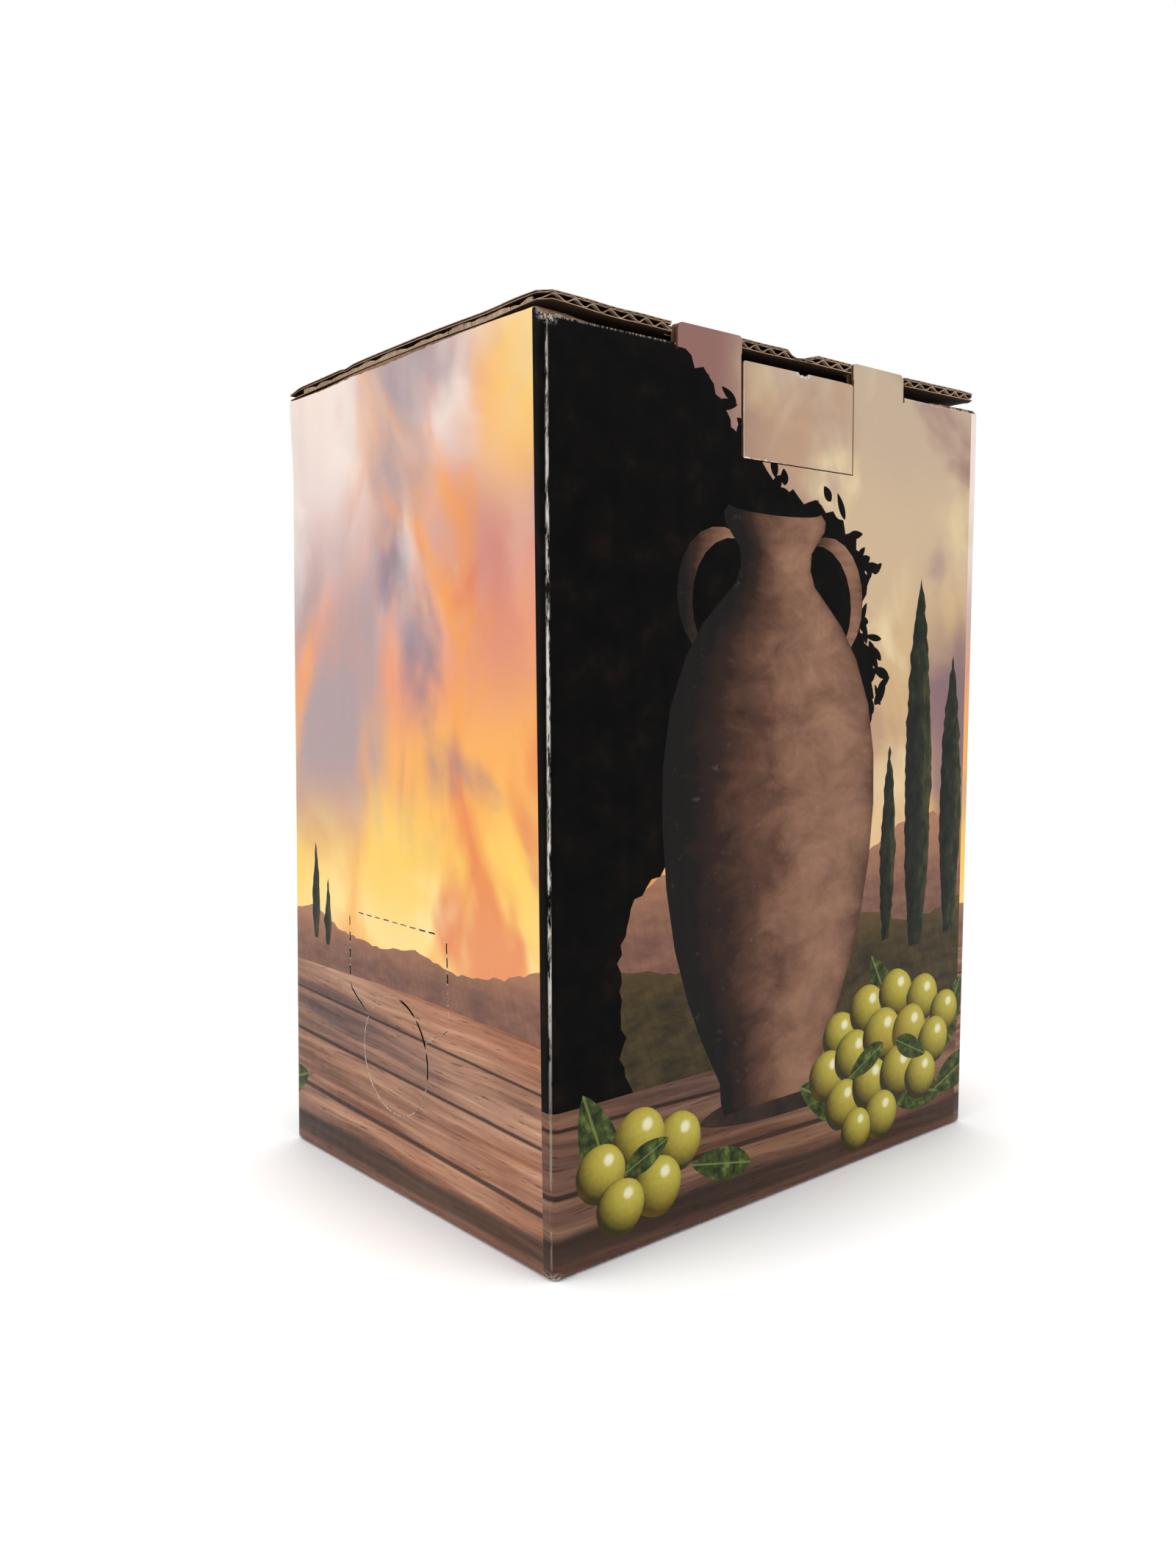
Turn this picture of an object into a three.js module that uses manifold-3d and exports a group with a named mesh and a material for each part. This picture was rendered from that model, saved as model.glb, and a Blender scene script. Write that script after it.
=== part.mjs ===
// Empty carton of a five litre bag in box, folded and glued from one sheet of
// corrugated board. Millimetres, +Z up, origin under the middle of the bottom.
// The narrow face with the tap door looks along -Y, and the wide face with the
// hand flap and the two lid tabs looks along +X.
import * as THREE from "three";
import { mergeVertices } from "three/addons/utils/BufferGeometryUtils.js";
import Module from "manifold-3d";

const wasm = await Module();
wasm.setup();

// Outside size of the box and its board
const width = 141;
const depth = 187;
const height = 250;
const board = 2.8;
const cornerRadius = 2.2;
const foldRadius = 1.1;

// Flutes in the cut edges: coarse ones, and a fine layer under the print
const liner = 0.3;
const coarsePitch = 6;
const coarseHeight = 1.35;
const finePitch = 3;
const fineHeight = 0.35;
const fluteDepth = 4;

// Bottom flaps, top inner flaps and the glued seam
const bottomFlap = 66;
const seamGap = 0.6;
const innerFlap = 60;
const innerFlapSide = 1.4;
const glueFlap = 32;

// Tap door and the disc pressed in first, on the narrow face
const discRadius = 18.1;
const discX = -6.2;
const discZ = 43.1;
const doorLeft = -32.7;
const doorRight = 22.8;
const doorTop = 84.5;
const doorBend = 59;
const cutWidth = 0.45;
const dashLength = 3.6;
const dashGap = 1.5;

// Hand flap and tabs, on the wide face
const flapLeft = -23;
const flapRight = 26.8;
const flapHeight = 28.6;
const leftSlit = 0.8;
const rightSlit = 0.45;
const creaseGap = 0.35;
const creaseRise = 2.4;
const tabWidth = 24.6;
const tabRise = 6;
const tabRound = 1.6;
const tabSlitDepth = 1.6;
const tabSlit = 0.7;

// Lid, hinged on the rear wide face and a little raised in front
const lidGap = 0.3;
const lidTilt = 1.06;
const lidWidth = depth - 1.8;
const lidReach = width - 0.4;
const lidCorner = 3.4;
const lidCrush = 0.9;
const lidTaper = 7;
const notchDepth = 4;
const notchOuter = 1.7;
const notchInner = 0.6;
const dipWidth = 12;
const dipDepth = 0.7;
const dipReach = 7;

const halfWidth = width / 2;
const halfDepth = depth / 2;
const flapFoot = height - flapHeight;
const tabTop = height + tabRise;

// Closed solid from a geometry, and a geometry from a solid
function solidFrom(geometry) {
  const bare = geometry.clone();
  bare.deleteAttribute("normal");
  bare.deleteAttribute("uv");
  const merged = mergeVertices(bare);
  const mesh = new wasm.Mesh({
    numProp: 3,
    vertProperties: new Float32Array(merged.attributes.position.array),
    triVerts: new Uint32Array(merged.index.array),
  });
  return new wasm.Manifold(mesh);
}

function geometryFrom(solid) {
  const mesh = solid.getMesh();
  const geometry = new THREE.BufferGeometry();
  const points = new Float32Array(mesh.vertProperties);
  geometry.setAttribute("position", new THREE.BufferAttribute(points, 3));
  geometry.setIndex(new THREE.BufferAttribute(new Uint32Array(mesh.triVerts), 1));
  geometry.computeVertexNormals();
  return geometry;
}

function join(solids) {
  return solids.reduce((sum, solid) => sum.add(solid));
}

// Rectangular block between two corners
function block(x0, x1, y0, y1, z0, z1) {
  const geometry = new THREE.BoxGeometry(x1 - x0, y1 - y0, z1 - z0);
  geometry.translate((x0 + x1) / 2, (y0 + y1) / 2, (z0 + z1) / 2);
  return solidFrom(geometry);
}

function shapeFrom(points) {
  return new THREE.Shape(points.map(([a, b]) => new THREE.Vector2(a, b)));
}

// Flat outlines swept along one axis: (x, y) along Z, (y, z) along X and
// (x, z) along Y
function sweepUp(shape, z0, z1) {
  const settings = { depth: z1 - z0, bevelEnabled: false, curveSegments: 4 };
  const geometry = new THREE.ExtrudeGeometry(shape, settings);
  geometry.translate(0, 0, z0);
  return solidFrom(geometry);
}

function sweepAcross(shape, x0, x1) {
  const settings = { depth: x1 - x0, bevelEnabled: false, curveSegments: 4 };
  const geometry = new THREE.ExtrudeGeometry(shape, settings);
  const turn = new THREE.Matrix4().makeBasis(
    new THREE.Vector3(0, 1, 0),
    new THREE.Vector3(0, 0, 1),
    new THREE.Vector3(1, 0, 0),
  );
  geometry.applyMatrix4(turn);
  geometry.translate(x0, 0, 0);
  return solidFrom(geometry);
}

function sweepAlong(shape, y0, y1) {
  const settings = { depth: y1 - y0, bevelEnabled: false, curveSegments: 4 };
  const geometry = new THREE.ExtrudeGeometry(shape, settings);
  const turn = new THREE.Matrix4().makeBasis(
    new THREE.Vector3(1, 0, 0),
    new THREE.Vector3(0, 0, 1),
    new THREE.Vector3(0, -1, 0),
  );
  geometry.applyMatrix4(turn);
  geometry.translate(0, y1, 0);
  return solidFrom(geometry);
}

// Rectangle with rounded corners, centred on the origin
function roundedRectangle(sizeX, sizeY, radius) {
  const x = sizeX / 2;
  const y = sizeY / 2;
  const shape = new THREE.Shape();
  shape.moveTo(-x + radius, -y);
  shape.lineTo(x - radius, -y);
  shape.quadraticCurveTo(x, -y, x, -y + radius);
  shape.lineTo(x, y - radius);
  shape.quadraticCurveTo(x, y, x - radius, y);
  shape.lineTo(-x + radius, y);
  shape.quadraticCurveTo(-x, y, -x, y - radius);
  shape.lineTo(-x, -y + radius);
  shape.quadraticCurveTo(-x, -y, -x + radius, -y);
  return shape;
}

// Ends of the flutes along an edge, as holes (t, s): t runs along the edge from
// `from` to `to`, s through the board from its inner face
function coarseHoles(from, to) {
  const holes = [];
  const half = coarsePitch / 2;
  const count = Math.max(0, Math.floor((to - from) / half));
  const low = liner;
  const high = liner + coarseHeight;
  for (let i = 0; i < count; i += 1) {
    const middle = from + (i + 0.5) * half;
    const wide = half * 0.42;
    const slim = half * 0.1;
    const foot = i % 2 === 0 ? wide : slim;
    const crown = i % 2 === 0 ? slim : wide;
    holes.push([
      [middle - foot, low],
      [middle + foot, low],
      [middle + crown, high],
      [middle - crown, high],
    ]);
  }
  return holes;
}

function fineHoles(from, to) {
  const holes = [];
  const count = Math.max(0, Math.floor((to - from) / finePitch));
  const low = board - liner - fineHeight;
  const high = board - liner;
  for (let i = 0; i < count; i += 1) {
    const middle = from + (i + 0.5) * finePitch;
    const half = finePitch * 0.36;
    holes.push([
      [middle - half, low],
      [middle + half, low],
      [middle + half * 0.8, high],
      [middle - half * 0.8, high],
    ]);
  }
  return holes;
}

// Slit along a line of the narrow face, cut through the board
function slit(x0, z0, x1, z1) {
  const along = new THREE.Vector2(x1 - x0, z1 - z0).normalize();
  const side = new THREE.Vector2(-along.y, along.x).multiplyScalar(cutWidth / 2);
  const shape = shapeFrom([
    [x0 - side.x, z0 - side.y],
    [x1 - side.x, z1 - side.y],
    [x1 + side.x, z1 + side.y],
    [x0 + side.x, z0 + side.y],
  ]);
  return sweepAlong(shape, -halfDepth - 1, -halfDepth + board + 0.5);
}

// Row of slits with a bridge of board between each two
function perforation(x0, z0, x1, z1) {
  const length = Math.hypot(x1 - x0, z1 - z0);
  const count = Math.max(1, Math.round(length / (dashLength + dashGap)));
  const step = length / count;
  const dash = Math.max(step * 0.4, step - dashGap);
  const slits = [];
  for (let i = 0; i < count; i += 1) {
    const start = (i * step + (step - dash) / 2) / length;
    const end = start + dash / length;
    slits.push(slit(
      x0 + (x1 - x0) * start,
      z0 + (z1 - z0) * start,
      x0 + (x1 - x0) * end,
      z0 + (z1 - z0) * end,
    ));
  }
  return slits;
}

// Curved slit of the disc between two angles in degrees
function discSlit(from, to) {
  const inner = discRadius - cutWidth / 2;
  const outer = discRadius + cutWidth / 2;
  const steps = Math.max(3, Math.ceil((to - from) / 9));
  const points = [];
  for (let i = 0; i <= steps; i += 1) {
    const angle = THREE.MathUtils.degToRad(from + ((to - from) * i) / steps);
    points.push([discX + outer * Math.cos(angle), discZ + outer * Math.sin(angle)]);
  }
  for (let i = steps; i >= 0; i -= 1) {
    const angle = THREE.MathUtils.degToRad(from + ((to - from) * i) / steps);
    points.push([discX + inner * Math.cos(angle), discZ + inner * Math.sin(angle)]);
  }
  return sweepAlong(shapeFrom(points), -halfDepth - 1, -halfDepth + board + 0.5);
}

// Four walls with rounded corners and a rounded bottom edge
function makeShell() {
  const reach = height + 20;
  const outerGeometry = new THREE.ExtrudeGeometry(
    roundedRectangle(width, depth, cornerRadius),
    {
      depth: reach - 2 * foldRadius,
      curveSegments: 4,
      bevelThickness: foldRadius,
      bevelSize: foldRadius,
      bevelOffset: -foldRadius,
      bevelSegments: 2,
    },
  );
  outerGeometry.translate(0, 0, foldRadius);
  const top = block(-width, width, -depth, depth, height, reach + 5);
  const inside = roundedRectangle(width - 2 * board, depth - 2 * board, 0.6);
  return solidFrom(outerGeometry)
    .subtract(top)
    .subtract(sweepUp(inside, 2 * board, height + 1));
}

// Bottom: the inner pair of flaps leaves a gap, and the outer pair meets in the
// middle
function bottomCuts() {
  const innerX = halfWidth - board;
  const innerY = halfDepth - board;
  const gapY = halfDepth - bottomFlap;
  return [
    block(-innerX, innerX, -gapY, gapY, board, 2 * board + 0.5),
    block(-seamGap / 2, seamGap / 2, -innerY, innerY, -1, board),
  ];
}

// Inner flap at the top of one narrow wall, with flute ends in its free edge
function makeInnerFlap(side) {
  const halfFlap = halfWidth - board - innerFlapSide;
  const free = halfDepth - innerFlap;
  const low = height - board;
  const near = Math.min(side * free, side * (halfDepth - board / 2));
  const far = Math.max(side * free, side * (halfDepth - board / 2));
  const flap = block(-halfFlap, halfFlap, near, far, low, height);
  const y0 = side > 0 ? free - 1 : -free - fluteDepth;
  const holes = coarseHoles(-halfFlap + 1, halfFlap - 1).map((hole) =>
    sweepAlong(shapeFrom(hole.map(([t, s]) => [t, low + s])), y0, y0 + fluteDepth + 1),
  );
  return flap.subtract(join(holes));
}

// Round the fold where an inner flap turns in from its narrow wall
function foldCut(side) {
  const edge = halfDepth;
  const steps = [0, 30, 60, 90];
  const arc = steps.map((degrees) => {
    const angle = THREE.MathUtils.degToRad(degrees);
    return [
      side * (edge - foldRadius + foldRadius * Math.cos(angle)),
      height - foldRadius + foldRadius * Math.sin(angle),
    ];
  });
  const outline = [
    [side * (edge + 1), height - foldRadius],
    ...arc,
    [side * (edge - foldRadius), height + 1],
    [side * (edge + 1), height + 1],
  ];
  const ordered = side > 0 ? outline.reverse() : outline;
  return sweepAcross(shapeFrom(ordered), -halfWidth - 1, halfWidth + 1);
}

// Seam flap glued inside the rear wall at the corner away from the tap
function makeSeam() {
  const y1 = halfDepth - board + 0.2;
  const y0 = y1 - glueFlap;
  const low = 3 * board;
  const high = height - 3 * board;
  const shape = shapeFrom([
    [y0, low + 8],
    [y1, low],
    [y1, high],
    [y0, high - 8],
  ]);
  const x0 = -halfWidth + board / 2;
  return sweepAcross(shape, x0, -halfWidth + 2 * board);
}

// Tab that stands up through the lid's free edge, barbed on its inner side
function makeTab(inner, direction) {
  const outer = inner + direction * tabWidth;
  const outline = [
    [inner, flapFoot + 10],
    [outer, flapFoot + 10],
    [outer, tabTop - tabRound],
    [outer - direction * tabRound, tabTop],
    [inner + direction * tabRound * 0.5, tabTop],
    [inner - direction * 0.35, tabTop - tabRound * 0.6],
    [inner - direction * 0.25, height + 1.2],
    [inner, height + 0.6],
  ];
  const ordered = direction > 0 ? outline : outline.reverse();
  return sweepAcross(shapeFrom(ordered), halfWidth - board, halfWidth);
}

// Opening of the hand flap: its sill slopes down inwards, so that the crease
// can close
function handOpening() {
  const outside = halfWidth + 1;
  const inside = halfWidth - board - 1;
  const slope = creaseRise / board;
  const shape = shapeFrom([
    [outside, flapFoot + slope],
    [outside, height + 10],
    [inside, height + 10],
    [inside, flapFoot - slope * (board + 1)],
  ]);
  return sweepAlong(shape, flapLeft, flapRight);
}

function makeCarton() {
  const tabs = [makeTab(flapLeft, -1), makeTab(flapRight, 1)];
  const slitFoot = height - tabSlitDepth;
  const x0 = halfWidth - board - 1;
  const outerSlits = [
    block(x0, halfWidth + 1, flapLeft - tabWidth - tabSlit, flapLeft - tabWidth, slitFoot, height + 1),
    block(x0, halfWidth + 1, flapRight + tabWidth, flapRight + tabWidth + tabSlit, slitFoot, height + 1),
  ];
  const edge = halfDepth - cornerRadius - 3;
  const flutes = [
    ...coarseHoles(-edge, flapLeft - 1),
    ...coarseHoles(flapRight + 1, edge),
  ].map((hole) => {
    const outline = hole.map(([t, s]) => [halfWidth - board + s, t]).reverse();
    return sweepUp(shapeFrom(outline), height - fluteDepth, tabTop + 1);
  });
  const bendX = discX + discRadius * Math.cos(THREE.MathUtils.degToRad(144));
  const bendZ = discZ + discRadius * Math.sin(THREE.MathUtils.degToRad(144));
  const endX = discX + discRadius * Math.cos(THREE.MathUtils.degToRad(24));
  const endZ = discZ + discRadius * Math.sin(THREE.MathUtils.degToRad(24));
  const cuts = [
    ...perforation(doorLeft, doorTop, doorRight, doorTop),
    ...perforation(doorLeft, doorBend, doorLeft, doorTop - 1),
    ...perforation(doorRight, doorBend - 1, doorRight, doorTop - 1),
    ...perforation(doorLeft, doorBend - 0.8, bendX - 0.8, bendZ + 0.6),
    ...perforation(doorRight, doorBend - 1.8, endX + 0.8, endZ + 0.6),
    discSlit(-42, 19),
    discSlit(29, 84),
    discSlit(88, 139),
    discSlit(149, 206),
    discSlit(210, 262),
    discSlit(266, 314),
  ];
  return makeShell()
    .subtract(join(bottomCuts()))
    .add(makeInnerFlap(-1))
    .add(makeInnerFlap(1))
    .subtract(foldCut(-1))
    .subtract(foldCut(1))
    .add(makeSeam())
    .subtract(handOpening())
    .add(join(tabs))
    .subtract(join([...outerSlits, ...flutes, ...cuts]))
    .intersect(block(-width, width, -depth, depth, 0, tabTop));
}

// Hand flap: fills its opening down to the crease, where it is bevelled on the
// inside
function makeHandFlap() {
  const left = flapLeft + leftSlit;
  const right = flapRight - rightSlit;
  const top = height - 0.6;
  const slope = creaseRise / board;
  const foot = flapFoot + creaseGap;
  const outline = shapeFrom([
    [halfWidth, foot],
    [halfWidth, top],
    [halfWidth - board, top],
    [halfWidth - board, foot + slope * board],
  ]);
  const holes = coarseHoles(left + 1, right - 1).map((hole) => {
    const ends = hole.map(([t, s]) => [halfWidth - board + s, t]).reverse();
    return sweepUp(shapeFrom(ends), top - fluteDepth, top + 1);
  });
  const nickMiddle = (left + right) / 2 + 2.4;
  const nick = sweepAcross(
    shapeFrom([
      [nickMiddle - 2.2, top + 1],
      [nickMiddle - 1.2, top - 0.7],
      [nickMiddle + 1.6, top - 0.5],
      [nickMiddle + 2.4, top + 1],
    ]),
    halfWidth - liner - fineHeight,
    halfWidth + 1,
  );
  return sweepAlong(outline, left, right).subtract(join(holes)).subtract(nick);
}

// Lid, built flat with its hinge line at x = 0 and its underside at z = 0
function makeLid() {
  const half = lidWidth / 2;
  const corner = lidCorner;
  const first = [flapLeft - tabWidth - notchOuter, flapLeft + notchInner];
  const second = [flapRight - notchInner, flapRight + tabWidth + notchOuter];
  const back = lidReach - notchDepth;
  const outline = sweepUp(
    shapeFrom([
      [lidGap, -half],
      [lidReach - corner, -half],
      [lidReach, -half + corner * 0.8],
      [lidReach, first[0]],
      [back, first[0] + 0.4],
      [back, first[1] - 0.4],
      [lidReach, first[1]],
      [lidReach, second[0]],
      [back, second[0] + 0.4],
      [back, second[1] - 0.4],
      [lidReach, second[1]],
      [lidReach, half - corner * 0.8],
      [lidReach - corner, half],
      [lidGap, half],
    ]),
    -1,
    board + 1,
  );
  const edge = half - corner;
  const tunnels = [...coarseHoles(-edge, edge), ...fineHoles(-edge, edge)].map((hole) =>
    sweepAcross(shapeFrom(hole), lidTaper + 1, lidReach + 2),
  );
  const panel = block(lidTaper, lidReach + 1, -half, half, 0, board);
  const strip = sweepAlong(
    shapeFrom([
      [0, 0],
      [lidTaper, 0],
      [lidTaper, board],
      [1.4, board - lidCrush],
      [0, board - lidCrush],
    ]),
    -half,
    half,
  );
  const dipMiddle = (flapLeft + flapRight) / 2 + 2.6;
  const dip = sweepAlong(
    shapeFrom([
      [lidReach + 1, board - dipDepth * 1.15],
      [lidReach + 1, board + 1],
      [lidReach - dipReach, board + 1],
      [lidReach - dipReach, board],
    ]),
    dipMiddle - dipWidth / 2,
    dipMiddle + dipWidth / 2,
  );
  return panel.add(strip).subtract(join(tunnels)).intersect(outline).subtract(dip);
}

const print = { roughness: 0.42, metalness: 0 };
const cartonMaterial = new THREE.MeshStandardMaterial({ color: 0x7a5845, ...print });
const flapMaterial = new THREE.MeshStandardMaterial({ color: 0xb08c6e, ...print });
const lidMaterial = new THREE.MeshStandardMaterial({
  color: 0x4a3a30,
  roughness: 0.7,
  metalness: 0,
});

const carton = new THREE.Mesh(geometryFrom(makeCarton()), cartonMaterial);
carton.name = "carton";

const handFlap = new THREE.Mesh(geometryFrom(makeHandFlap()), flapMaterial);
handFlap.name = "hand_flap";

const lid = new THREE.Mesh(geometryFrom(makeLid()), lidMaterial);
lid.name = "lid";
lid.position.set(-halfWidth, 0, height + lidGap);
lid.rotation.y = THREE.MathUtils.degToRad(-lidTilt);

const box = new THREE.Group();
box.add(carton, handFlap, lid);

export default box;
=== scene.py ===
import math
import random
from functools import partialmethod

import bmesh
import bpy
from mathutils import Matrix, Vector, geometry, noise


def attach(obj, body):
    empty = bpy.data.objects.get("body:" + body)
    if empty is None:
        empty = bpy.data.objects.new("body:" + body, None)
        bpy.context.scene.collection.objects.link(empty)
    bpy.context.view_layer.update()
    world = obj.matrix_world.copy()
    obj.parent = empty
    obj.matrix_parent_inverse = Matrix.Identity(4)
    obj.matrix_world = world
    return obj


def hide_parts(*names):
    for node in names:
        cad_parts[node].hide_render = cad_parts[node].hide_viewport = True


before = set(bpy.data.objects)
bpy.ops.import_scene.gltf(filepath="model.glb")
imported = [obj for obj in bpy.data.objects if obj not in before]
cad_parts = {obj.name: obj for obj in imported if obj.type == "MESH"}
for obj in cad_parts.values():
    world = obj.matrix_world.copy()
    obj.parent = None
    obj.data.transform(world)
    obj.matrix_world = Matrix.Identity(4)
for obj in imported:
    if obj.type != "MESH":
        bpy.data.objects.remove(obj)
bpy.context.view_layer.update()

scene = bpy.context.scene
rng = random.Random(7)

# Sizes in millimetres, as in the solids
MM = 0.001
W, D, H = 141.0, 187.0, 250.0
HW, HD = W / 2, D / 2
BOARD = 2.8
CORNER = 2.2
FOLD = 1.1
FLAP_L, FLAP_R, FLAP_FOOT = -23.0, 26.8, 221.4
TAB_W, TAB_TOP = 24.6, 256.0
DISC_X, DISC_Z, DISC_R = -6.2, 43.1, 18.1
DOOR_L, DOOR_R, DOOR_TOP = -32.7, 22.8, 84.5
CREASE = 2.4 / 2.8
TWIST = 0.735
# Heights of the two rows of flutes over the inner side of the board, the
# lengths of their waves and the stations of their paper behind a cut edge
COARSE = (0.25, 1.95)
FINE = (2.1, 2.6)
PITCHES = (6.0, 2.9)
STUBS = (0.06, 0.9, 2.9)
# How far the print of a wide face reaches round its corner, the middles of the
# four walls on the unrolled sheet and the corners between them
WRAP = 4.4
REAR, TAP, FRONT, FAR = HD, D + HW, D + W + HD, 2 * D + W + HW
CORNERS = [0.0, D, D + W, 2 * D + W, 2 * D + 2 * W]


# Camera, placed as the one that took the photograph
FOCAL, FRAME_W, FRAME_H = 1743.9, 1600.0, 2133.0
AZIMUTH, ELEVATION = math.radians(49.015), math.radians(3.764)
TARGET, DISTANCE = Vector((-0.00836, 0.0, 0.13127)), 0.4487
CENTRE_X, CENTRE_Y = 846.2, 1026.6
back = Vector((
    math.sin(AZIMUTH) * math.cos(ELEVATION),
    -math.cos(AZIMUTH) * math.cos(ELEVATION),
    math.sin(ELEVATION),
))
right = Vector((math.cos(AZIMUTH), math.sin(AZIMUTH), 0.0))
cam_data = bpy.data.cameras.new("camera")
cam = bpy.data.objects.new("camera", cam_data)
scene.collection.objects.link(cam)
turn = Matrix((right, back.cross(right), back)).transposed().to_4x4()
cam.matrix_world = Matrix.Translation(TARGET + back * DISTANCE) @ turn
cam_data.sensor_width = 36.0
cam_data.lens = 36.0 * FOCAL / FRAME_H
cam_data.shift_x = (FRAME_W / 2 - CENTRE_X) / FRAME_H
cam_data.shift_y = (CENTRE_Y - FRAME_H / 2) / FRAME_H
cam_data.clip_start = 0.01
scene.camera = cam


# Materials, written as expressions of nodes
def linear(code):
    """Linear colour of a hex code."""
    parts = [int(code[i:i + 2], 16) / 255 for i in (0, 2, 4)]
    return (*[c / 12.92 if c <= 0.04045 else ((c + 0.055) / 1.055) ** 2.4 for c in parts], 1.0)


class Nodes:
    """The nodes of a tree, written as expressions."""

    def __init__(self, tree):
        self.tree = tree
        tree.nodes.clear()

    def add(self, kind, **values):
        node = self.tree.nodes.new("ShaderNode" + kind)
        for key, value in values.items():
            setattr(node, key, value)
        return node

    def put(self, value, socket):
        if isinstance(value, bpy.types.NodeSocket):
            self.tree.links.new(value, socket)
        elif isinstance(value, str):
            socket.default_value = linear(value)
        else:
            socket.default_value = value

    def math(self, op, a, b=0.0, c=0.0, clamp=False):
        node = self.add("Math", operation=op, use_clamp=clamp)
        for value, socket in zip((a, b, c), node.inputs):
            self.put(value, socket)
        return node.outputs[0]

    def watched(self):
        """1 where the camera sees a surface, also in a mirror or through glass."""
        rays = self.add("LightPath").outputs
        seen = self.math("ADD", rays["Is Camera Ray"], rays["Is Glossy Ray"])
        return self.math("ADD", seen, rays["Is Transmission Ray"], clamp=True)

    def choose(self, factor, a, b):
        node = self.add("MixShader")
        for value, socket in zip((factor, a, b), node.inputs):
            self.put(value, socket)
        return node.outputs[0]


class Paint(Nodes):
    """A material with one shader; p stands for it in the functions below."""

    def __init__(self, name, roughness=0.45, specular=0.1):
        self.mat = bpy.data.materials.new(name)
        self.mat.use_nodes = True
        super().__init__(self.mat.node_tree)
        self.out = self.add("OutputMaterial")
        self.bsdf = self.add("BsdfPrincipled")
        self.bsdf.inputs["Roughness"].default_value = roughness
        self.bsdf.inputs["Specular IOR Level"].default_value = specular
        self.tree.links.new(self.bsdf.outputs[0], self.out.inputs[0])

    def span(self, value, low, high, to_low=0.0, to_high=1.0, smooth=True):
        node = self.add("MapRange", interpolation_type="SMOOTHSTEP" if smooth else "LINEAR")
        for item, socket in zip((value, low, high, to_low, to_high), node.inputs):
            self.put(item, socket)
        return node.outputs[0]

    def mix(self, factor, a, b, blend="MIX"):
        node = self.add("Mix", data_type="RGBA", blend_type=blend, clamp_factor=True)
        self.put(factor, node.inputs[0])
        self.put(a, node.inputs[6])
        self.put(b, node.inputs[7])
        return node.outputs[2]

    def tint(self, color, code, value, low, high, to_low=0.0, to_high=1.0):
        """The colour with another laid over it where the value passes from low to high."""
        return self.mix(self.span(value, low, high, to_low, to_high), color, code)

    def half(self, color, code):
        return self.mix(0.5, color, code)

    def form(self):
        return self.split(self.uv("form"))

    def ramp(self, factor, stops, smooth=False):
        node = self.add("ValToRGB")
        node.color_ramp.interpolation = "EASE" if smooth else "LINEAR"
        while len(node.color_ramp.elements) < len(stops):
            node.color_ramp.elements.new(0.5)
        for element, (at, code) in zip(node.color_ramp.elements, stops):
            element.position = at
            element.color = linear(code)
        self.put(factor, node.inputs[0])
        return node.outputs[0]

    def uv(self, name):
        return self.add("UVMap", uv_map=name).outputs[0]

    def place(self):
        return self.add("TexCoord").outputs["Object"]

    def split(self, vector):
        node = self.add("SeparateXYZ")
        self.put(vector, node.inputs[0])
        return node.outputs

    def join(self, x=0.0, y=0.0, z=0.0):
        node = self.add("CombineXYZ")
        for value, socket in zip((x, y, z), node.inputs):
            self.put(value, socket)
        return node.outputs[0]

    def scale(self, vector, sx, sy, sz=1.0, shift=(0.0, 0.0, 0.0)):
        node = self.add("Mapping")
        self.put(vector, node.inputs[0])
        node.inputs["Location"].default_value = shift
        node.inputs["Scale"].default_value = (sx, sy, sz)
        return node.outputs[0]

    def noise(self, vector, scale, detail=3.0, rough=0.55, warp=0.0):
        node = self.add("TexNoise")
        self.put(vector, node.inputs["Vector"])
        values = {"Scale": scale, "Detail": detail, "Roughness": rough, "Distortion": warp}
        for name, value in values.items():
            node.inputs[name].default_value = value
        return node.outputs[0]

    def bump(self, height, strength, distance, normal=None):
        node = self.add("Bump")
        node.inputs["Strength"].default_value = strength
        node.inputs["Distance"].default_value = distance
        self.put(height, node.inputs["Height"])
        if normal is not None:
            self.put(normal, node.inputs["Normal"])
        return node.outputs[0]


# Sums of nodes under short names: line is a * b + c, size is the absolute value
for short, op in (
    ("mul", "MULTIPLY"), ("plus", "ADD"), ("minus", "SUBTRACT"), ("line", "MULTIPLY_ADD"),
    ("size", "ABSOLUTE"), ("sine", "SINE"), ("root", "SQRT"), ("top", "MAXIMUM"),
):
    setattr(Paint, short, partialmethod(Paint.math, op))


def square(p, a, b):
    return p.plus(p.mul(a, a), p.mul(b, b))


def near(p, a, b, radius):
    """1 where the distance of length a, b is under the radius, falling to 0 at twice of it."""
    return p.span(p.root(square(p, a, b)), radius, radius * 2, 1.0, 0.0)


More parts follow.
